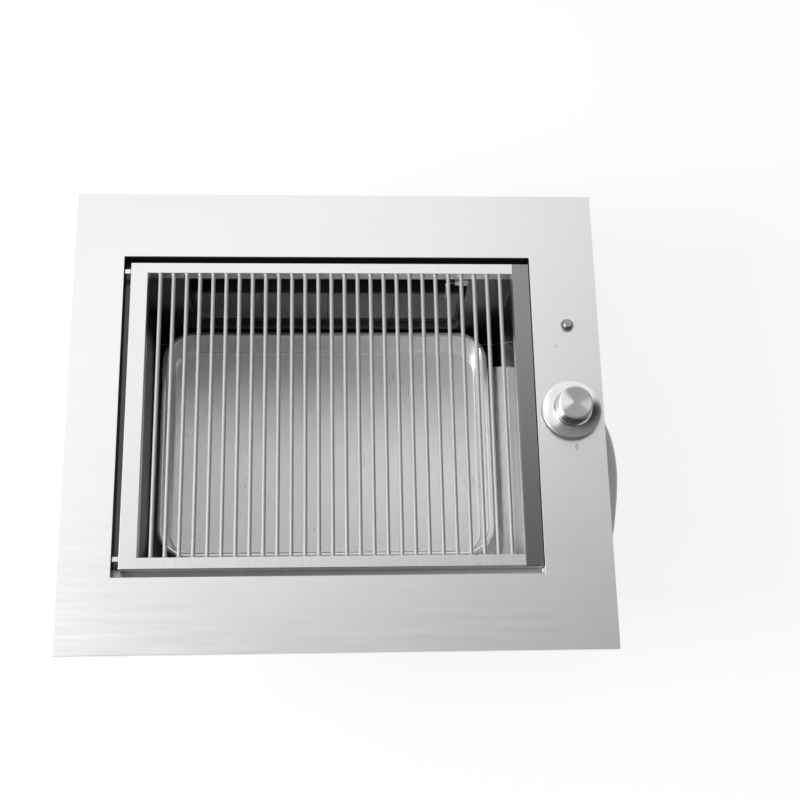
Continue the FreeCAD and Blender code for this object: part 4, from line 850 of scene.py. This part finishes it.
def braided_metal():
    """Strands at two opposite slants, each over and under the other, in grey wire, with painted shade
    where they dip.
    """
    finish = Finish("hose_braid", Metallic=0.6)
    chart = add_node(finish.tree, "ShaderNodeUVMap", uv_map="UVMap")
    along, round_it, _ = chart.parts()
    steps = along / STRAND_PITCH
    turns = round_it * STRANDS_ROUND
    first, second = steps + turns, steps - turns
    over = (first.maths("FLOOR") + second.maths("FLOOR")).maths("FLOORED_MODULO", 2.0)
    strand_a = (first.maths("FRACT") * math.pi).maths("SINE")
    strand_b = (second.maths("FRACT") * math.pi).maths("SINE")
    height = over * strand_a + (1 - over) * strand_b
    wires = (over * second + (1 - over) * first) * (10 * math.pi)
    threads = wires.maths("SINE") * 0.5 + 0.5
    tint = finish.noise(260, 3)
    # Painted shade: the braid is painted darker where the strands dip and between its fine wires.
    shade = (height * 0.75 + threads * 0.15 + tint * 0.1).between(0.1, 1.0)
    colour = finish.mix(shade, tone(104, 105, 107), tone(246, 247, 248))
    finish.set(Base_Color=colour, Roughness=0.42 - shade * 0.1)
    return finish.relief(height * 0.8 + threads * 0.2, 0.5 * MM, 0.8)


finishes["hose_braid"] = braided_metal()
hose = tube_along("gas_hose", hose_path, HOSE_RADIUS)
stand_for(hose, "hose_run", "hose_coil")
print("hose faces", len(hose.data.polygons))

# %% [markdown]
# ## Nuts and ferrules
# A hexagon nut is a round bar cut by six flats and turned to a cone at both faces, so its radius
# is the smaller of two: the distance to the flat, and the cone's radius at that height. A crimped
# ferrule is a sleeve with rings of shallow flutes where the jaws have pressed it.

# %% Hexagons and ferrules
def nut_profile(flats, length, bore):
    """A closed (radius, height) profile: bore, coned faces and a body that the flats will cut."""
    corner = flats / math.sqrt(3)
    face = flats / 2 * 0.94
    rise = (corner - face) * 0.58
    climb = np.linspace(0, 1, 6)
    cone = np.stack([face + (corner - face) * climb, rise * climb], axis=-1)
    lip = 0.3 * MM
    low = np.vstack([[(bore, lip), (bore + lip, 0)], cone])
    return np.vstack([low, low[::-1] * (1, -1) + (0, length)])


def nut_grid(start, axis, flats, length, bore, turn=math.pi / 6):
    """A hexagon nut from a place along an axis, its flats turned by an angle."""

    def six_flats(radius, angle):
        """Limit a radius: r = min(r, (flats/2) / cos(angle to the nearest flat))."""
        off_flat = np.mod(angle + turn + np.pi / 6, np.pi / 3) - np.pi / 6
        return np.minimum(radius, flats / 2 / np.cos(off_flat))

    return turned_grid(nut_profile(flats, length, bore), start, axis, 120, six_flats)


def ferrule_grid(centre, axis, radius, length):
    """A sleeve with two crimped bands, each of eight shallow flutes: r·(1 - 0.055·band·flute)."""
    height = np.linspace(0, length, 50)
    bands = np.sin(np.clip((height / length - 0.22) / 0.56, 0, 1) * 2 * np.pi) ** 2
    ease = 0.6 * MM
    middle = np.stack([np.full_like(height, radius), height], axis=-1)[1:-1]
    rear = [(0, 0), (radius - ease, 0)]
    front = [(radius - ease, length), (0, length)]
    body = np.vstack([rear, middle, front])
    depth = np.concatenate([[0, 0], bands[1:-1], [0, 0]])[:, None]

    def flutes(reach, angle):
        return reach * (1 - 0.055 * depth * (0.55 + 0.45 * np.cos(8 * angle)))

    return turned_grid(body, centre, axis, 96, flutes)


def middle_of(node):
    """The middle of a node's box."""
    low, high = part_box(node)
    return (np.array(low) + np.array(high)) / 2


def start_of(node, axis):
    """The middle of the face where a node begins along an axis."""
    place = middle_of(node)
    place[axis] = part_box(node)[0][axis]
    return place


def size_of(node):
    """The lengths of a node's box along the three axes."""
    low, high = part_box(node)
    return np.array(high) - np.array(low)


BACK = (0, 1, 0)
RIGHT = (1, 0, 0)
UP = (0, 0, 1)
HOSE_NUT_FLATS = 24 * MM
HOSE_NUT_LENGTH = 18 * MM
FERRULE_RADIUS = 7.75 * MM
FERRULE_LENGTH = 26 * MM
HOSE_NUT_BORES = {"near": 7.0 * MM, "far": 8.1 * MM}

hose_pieces = []
for end, bore in HOSE_NUT_BORES.items():
    start = start_of(f"hose_nut_{end}", 1)
    nut = nut_grid(start, BACK, HOSE_NUT_FLATS, HOSE_NUT_LENGTH, bore)
    hose_pieces.append(made_for(f"hose_nut_{end}", "turned", [nut], wrap_rows=True))
    start = start_of(f"hose_ferrule_{end}", 1)
    sleeve = ferrule_grid(start, BACK, FERRULE_RADIUS, FERRULE_LENGTH)
    hose_pieces.append(made_for(f"hose_ferrule_{end}", "crimped", [sleeve]))
print("hose pieces", len(hose_pieces))

# %% [markdown]
# The other nuts are made by the same function: two on the rigid gas pipe, two on the bracket's
# studs and the thin one that clamps the igniter under the plate.

# %% Pipe nuts, stud nuts and the igniter's nut
PIPE_NUT = (14 * MM, 11 * MM, 4.05 * MM)
STUD_NUT_FLATS = 7 * MM
STUD_BORE = 2.05 * MM
IGNITER_BORE = 6.55 * MM
pipe_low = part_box("pipe_nuts")[0]
injector_middle = middle_of("gas_injector")
valve_line = middle_of("hose_nut_near")
valve_nut = (valve_line[0], pipe_low.y, valve_line[2])
injector_nut = (pipe_low.x, injector_middle[1], injector_middle[2])
pipe_nuts = [nut_grid(valve_nut, BACK, *PIPE_NUT), nut_grid(injector_nut, RIGHT, *PIPE_NUT, turn=0)]
made_for("pipe_nuts", "turned", pipe_nuts, wrap_rows=True)

stud_low, stud_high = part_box("stud_nuts")
stud_corner = STUD_NUT_FLATS / math.sqrt(3)
stud_nuts = []
for stud_y in (stud_low.y + stud_corner, stud_high.y - stud_corner):
    start = (middle_of("stud_nuts")[0], stud_y, stud_low.z)
    stud_nuts.append(nut_grid(start, UP, STUD_NUT_FLATS, stud_high.z - stud_low.z, STUD_BORE))
made_for("stud_nuts", "turned", stud_nuts, wrap_rows=True)

flats, _, height = size_of("igniter_nut")
thin_nut = nut_grid(start_of("igniter_nut", 2), UP, flats, height, IGNITER_BORE)
made_for("igniter_nut", "turned", [thin_nut], wrap_rows=True)
print("nuts", [node for node in slot_of if "nut" in node])

# %% [markdown]
# ## Folded sheet parts
# Most of the grill is folded and welded sheet. Its shape is already right, but a real fold is
# never a perfect edge. A copy of each part is merged into a clean mesh, and a small bevel rounds
# the edges so that they catch light.

# %% Softened copies of folded parts
FOLD_ANGLE = 40
# How far the edges of each part are rounded, in millimetres.
FOLD_WIDTHS = {
    "top_plate": 0.55, "firebox": 0.4, "grate_frame": 0.6, "grate_tabs": 0.5,
    "burner_housing": 0.4, "burner_frame": 0.3, "burner_body": 0.4, "burner_feet": 0.3,
    "burner_tiles": 0.8, "heat_shield": 0.3, "valve_bracket": 0.5, "valve_bonnet": 0.5,
    "valve_body": 1.0, "rim_seal": 1.2, "hose_tie": 0.3,
}


def softened(node, width, finish=None):
    """A merged copy of a node with its sharp edges rounded by a bevel."""
    mesh = frame["nodes"][node].data.copy()
    work = open_mesh(mesh, 2e-6)
    bmesh.ops.dissolve_limit(
        work, angle_limit=math.radians(0.6), verts=work.verts, edges=work.edges
    )
    write_mesh(work, mesh)
    if "sharp_edge" in mesh.attributes:
        mesh.attributes.remove(mesh.attributes["sharp_edge"])
    thing = new_object(f"{node}_folded", mesh)
    bevel = thing.modifiers.new("rounded_edges", "BEVEL")
    bevel.width = width * MM
    bevel.segments = 2
    bevel.limit_method = "ANGLE"
    bevel.angle_limit = math.radians(FOLD_ANGLE)
    bevel.use_clamp_overlap = True
    bevel.harden_normals = True
    smooth(thing, FOLD_ANGLE)
    return stand_for(thing, node, finish=finish)


own_finish = {"firebox": smoked_steel()}
folded = {
    node: softened(node, width, own_finish.get(node)) for node, width in FOLD_WIDTHS.items()
}
print("softened parts", len(folded))

# %% The hose's nuts, ferrules and tie, in one list
hose_pieces + [folded["hose_tie"]]

# %% [markdown]
# ## The drip tray
# The tray is pressed in one stroke from thin sheet: its floor curves up into walls that lean out a
# little, and its edge is turned out flat and then down. All of that is one section, carried round
# a rounded rectangle. A point of the rectangle at an inset s is C + (r - s) * D, with C the centre
# of the nearest corner's arc, r its radius and D the direction outwards. The floor continues the
# same rings, drawn in towards the middle.

# %% Drip tray
TRAY_CORNER = 34 * MM
TRAY_WALL = 0.8
TRAY_RIM = 6.0
TRAY_LEAN = 4.0
TRAY_CURVE = 5.0
RIM_DROP = 3.0


def rounded_ring(node, corner, steps=14):
    """Arc centres and outward directions round a node's outline, both as (n, 2) arrays."""
    half = size_of(node)[:2] / 2
    middle = middle_of(node)[:2]
    quarter = np.linspace(0, np.pi / 2, steps)
    centres, ways = [], []
    for turn, signs in enumerate(((1, 1), (-1, 1), (-1, -1), (1, -1))):
        angle = quarter + turn * np.pi / 2
        centres.append(np.tile(middle + np.array(signs) * (half - corner), (steps, 1)))
        ways.append(np.stack([np.cos(angle), np.sin(angle)], axis=-1))
    return np.vstack(centres), np.vstack(ways)


def ring_grid(section, centres, ways, corner, level):
    """Rows of points C + (r - s)·D at heights level + h, for a section (s, h) in millimetres."""
    inset = section[:, 0, None, None] * MM
    flat = centres[None] + (corner - inset) * ways[None]
    height = np.broadcast_to(section[:, 1, None, None] * MM + level, (*flat.shape[:2], 1))
    return np.concatenate([flat, height], axis=-1)


def floor_rows(ring, middle, shares):
    """Copies of a ring, each drawn in towards a middle point by a share."""
    flat_middle = np.array([middle[0], middle[1], ring[0, 2]])
    return flat_middle + np.array(shares)[:, None, None] * (ring - flat_middle)[None]


def tray_grid():
    """The tray as one closed sheet: underside, outer wall, turned rim, inner wall and floor."""
    top = size_of("drip_tray")[2] / MM
    foot = TRAY_RIM - TRAY_WALL + TRAY_LEAN
    wall = TRAY_WALL
    corners = np.array([
        (foot + TRAY_CURVE, 0, 0), (foot, 0, TRAY_CURVE), (TRAY_RIM - wall, top - wall, 2),
        (wall, top - wall, 1.9), (wall, top - RIM_DROP, 0.1), (0, top - RIM_DROP, 0.1),
        (0, top, 2.8), (TRAY_RIM, top, 2.8), (TRAY_RIM + TRAY_LEAN, wall, TRAY_CURVE),
        (foot + TRAY_CURVE + wall, wall, 0),
    ])
    section = eased(corners[:, :2], corners[:, 2], steps=8)
    centres, ways = rounded_ring("drip_tray", TRAY_CORNER)
    sides = ring_grid(section, centres, ways, TRAY_CORNER, tray_low.z)
    middle = centres.mean(axis=0)
    under = floor_rows(sides[0], middle, np.linspace(0, 0.96, 9))
    above = floor_rows(sides[-1], middle, np.linspace(0.96, 0, 9))
    return np.vstack([under, sides, above])


tray = made_for("drip_tray", "pressed", [tray_grid()], degrees=50)
print("tray faces", len(tray.data.polygons))

# %% [markdown]
# ## The knob
# The knob is turned from bar: a wide flat foot with a raised lip, a shelf that slopes up from it
# to a waist, and a body with a rounded shoulder and a flat face. It is hollow, with a hub for the
# valve's stem and a small hole for the key that tightens the set screw. Lengths are in mm.

# %% Knob
KNOB_SKIRT = 3.0
KNOB_WALL = 2.5
KNOB_HUB = 8.0
STEM_BORE = 4.06
KEY_HOLE = 2.1
KNOB_LIP = 28.0
KNOB_WAIST = [(18.6, 7.6), (16.9, 12.0)]
KNOB_SHOULDER = 2.2
FACE_HOLLOW = 0.35
knob_width, _, knob_height = size_of("knob") / MM


def knob_grid():
    """The knob's closed section, turned about its axis."""
    radius = knob_width / 2
    inner_top = knob_height - KNOB_WALL
    lip = [(radius - KNOB_WALL, 0), (radius, 0), (radius, KNOB_SKIRT), (KNOB_LIP, KNOB_SKIRT + 0.1)]
    skirt = eased(lip, [0.5, 0.5, 1.2, 0.3], steps=5)
    shelf = (KNOB_LIP - 0.1, KNOB_SKIRT + 0.1)
    shoulder = (KNOB_FACE, knob_height - KNOB_SHOULDER)
    outer = eased([shelf, *KNOB_WAIST, shoulder], [0, 0.7, 8, 0], steps=9)
    crown = [outer[-1], (KNOB_FACE - 0.1, knob_height - 0.1), (10, knob_height - 0.3)]
    edge = eased(crown, 2.0, steps=8)
    face = [(4, knob_height - FACE_HOLLOW), (0, knob_height - FACE_HOLLOW)]
    hub = [(0, inner_top), (STEM_BORE, inner_top), (STEM_BORE, 1.5), (KNOB_HUB, 1.5)]
    inner = [(KNOB_HUB, inner_top), (12.5, inner_top), (13.6, inner_top - 2), (14.4, 9)]
    under = [(17.0, 3.6), (21.0, 1.3)]
    profile = np.vstack([skirt, outer, edge[1:], face, hub, inner, under])
    return turned_grid(profile * MM, start_of("knob", 2), UP, 144)


def drilled(thing, place, axis, radius, depth):
    """Cut a round hole from a place along an axis, and keep the result as the mesh."""
    bar = np.array([(0, 0), (radius, 0), (radius, depth), (0, depth)])
    cutter = surfaces("drill", [turned_grid(bar, place, axis, 32)])
    cut = thing.modifiers.new("hole", "BOOLEAN")
    cut.operation = "DIFFERENCE"
    cut.solver = "EXACT"
    cut.object = cutter
    graph = bpy.context.evaluated_depsgraph_get()
    mesh = bpy.data.meshes.new_from_object(thing.evaluated_get(graph))
    thing.modifiers.clear()
    thing.data = mesh
    bpy.data.objects.remove(cutter)
    return smooth(thing, 40)


knob = surfaces("knob_turned", [knob_grid()], wrap_rows=True, degrees=40)
screw_line = middle_of("knob_screw")
screw_line[1] = knob_centre.y
knob = drilled(knob, screw_line, BACK, KEY_HOLE * MM, 1.5 * KNOB_HUB * MM)
stand_for(knob, "knob")
print("knob faces", len(knob.data.polygons))

# %% [markdown]
# ## The rods
# Each rod is welded to the front and the rear bar of the frame, and the weld leaves a small
# collar: r = rod * (1 + 0.35 * exp(-(d / 0.8) ** 2)), with d the distance in millimetres from the
# nearer end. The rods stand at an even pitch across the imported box.

# %% Grate rods
ROD_RADIUS = 2.0 * MM
ROD_COUNT = 27
rod_low, rod_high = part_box("grate_rods")


def rod_grid(place, length):
    """One rod with a weld collar at each end."""
    ends = np.geomspace(0.2, 4.0, 7)
    far = length / MM
    run = np.concatenate([[0], ends, far - ends[::-1], [far]])
    near = np.minimum(run, far - run)
    radius = ROD_RADIUS * (1 + 0.35 * np.exp(-((near / 0.8) ** 2)))
    tube = np.stack([radius, run * MM], axis=-1)
    profile = np.vstack([[(0, 0)], tube, [(0, length)]])
    return turned_grid(profile, place, BACK, 20)


rod_places = np.linspace(rod_low.x + ROD_RADIUS, rod_high.x - ROD_RADIUS, ROD_COUNT)
rod_level = (rod_low.z + rod_high.z) / 2
rods = [rod_grid((x, rod_low.y, rod_level), rod_high.y - rod_low.y) for x in rod_places]
made_for("grate_rods", "welded", rods)
print("rod pitch", round((rod_places[1] - rod_places[0]) / MM, 2), "mm")

# %% [markdown]
# ## Two springs
# A spring is a circle carried along a helix. Its end turns lie closer together: after a share t of
# all its turns it has climbed a share t - 0.6 * sin(2 * pi * t) / (2 * pi) of its height.

# %% Springs
SPRING_TURNS = 6
# For each: its wire's radius in mm, the joint that presses it, and the share of height it keeps.
SPRINGS = {
    "knob_spring": (0.45, "knob_push", 0.817),
    "button_spring": (0.5, "button_push", 0.766),
}


def spring_grid(node, wire):
    """A wire of a given radius along a helix that just fills a node's box."""
    start = start_of(node, 2)
    width, _, height = size_of(node)
    mean = width / 2 - wire
    share = np.linspace(0, 1, SPRING_TURNS * 28)
    turn = share * SPRING_TURNS * 2 * np.pi
    climb = share - 0.6 * np.sin(2 * np.pi * share) / (2 * np.pi)
    level = start[2] + wire + (height - 2 * wire) * climb
    path = np.stack([start[0] + mean * np.cos(turn), start[1] + mean * np.sin(turn), level], -1)
    tube = tube_grid(path, wire, np.linspace(0, 2 * np.pi, 12, endpoint=False))
    cap = np.repeat(path[[0, -1], None], 12, axis=1)
    return np.vstack([cap[:1], tube, cap[1:]])


for node, (wire, joint, keep) in SPRINGS.items():
    spring = made_for(node, "wound", [spring_grid(node, wire * MM)])
    tuple(start_of(node, 2))
    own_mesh(spring)
print("springs", SPRING_TURNS, "turns each")

# %% [markdown]
# ## The ignition lead
# The lead carries the spark from the igniter to the electrode at the burner. It is soft, so it
# hangs in one easy curve, and each end wears a thicker boot.

# %% Ignition lead
LEAD_RADIUS = 1.6 * MM
# Each boot's place, direction, length, radius and bore.
BOOTS = (
    ((0.2288, 0.0893, 0.1565), UP, 0.0072, 0.0027, 0.00165),
    ((0.1578, 0.15965, 0.158), (-1, 0, 0), 0.0066, 0.0039, 0.00325),
)
lead_points = [
    (0.2288, 0.0893, 0.158),
    (0.2288, 0.0893, 0.144),
    (0.2148, 0.1093, 0.142),
    (0.1988, 0.1373, 0.158),
    (0.1825, 0.15965, 0.158),
    (0.1565, 0.15965, 0.158),
]
lead_path = path_through("lead_route", lead_points)
lead = tube_along("ignition_lead_run", lead_path, LEAD_RADIUS, 16)
stand_for(lead, "ignition_lead")


def boot_grid(place, axis, length, radius, bore):
    """A soft sleeve: its outer radius swells by a fifth along its length."""
    share = np.linspace(0, 1, 12)
    outer = np.stack([radius * (0.84 + 0.16 * np.sin(share * np.pi / 2)), length * share], axis=-1)
    profile = np.vstack([[(bore, 0)], outer, [(bore, length)]])
    return turned_grid(profile, place, axis, 32)


boots = surfaces("lead_boots", [boot_grid(*boot) for boot in BOOTS], wrap_rows=True)
dress(boots, finishes["lead_silicone"])
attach(boots, "root")
print("lead", round(step_lengths(lead_path).sum() / MM, 1), "mm")

# %% Every node that stays as it was packed gets its finish
for name, node in frame["nodes"].items():
    if not node.hide_render:
        dress(node, finishes[slot_of[name]])
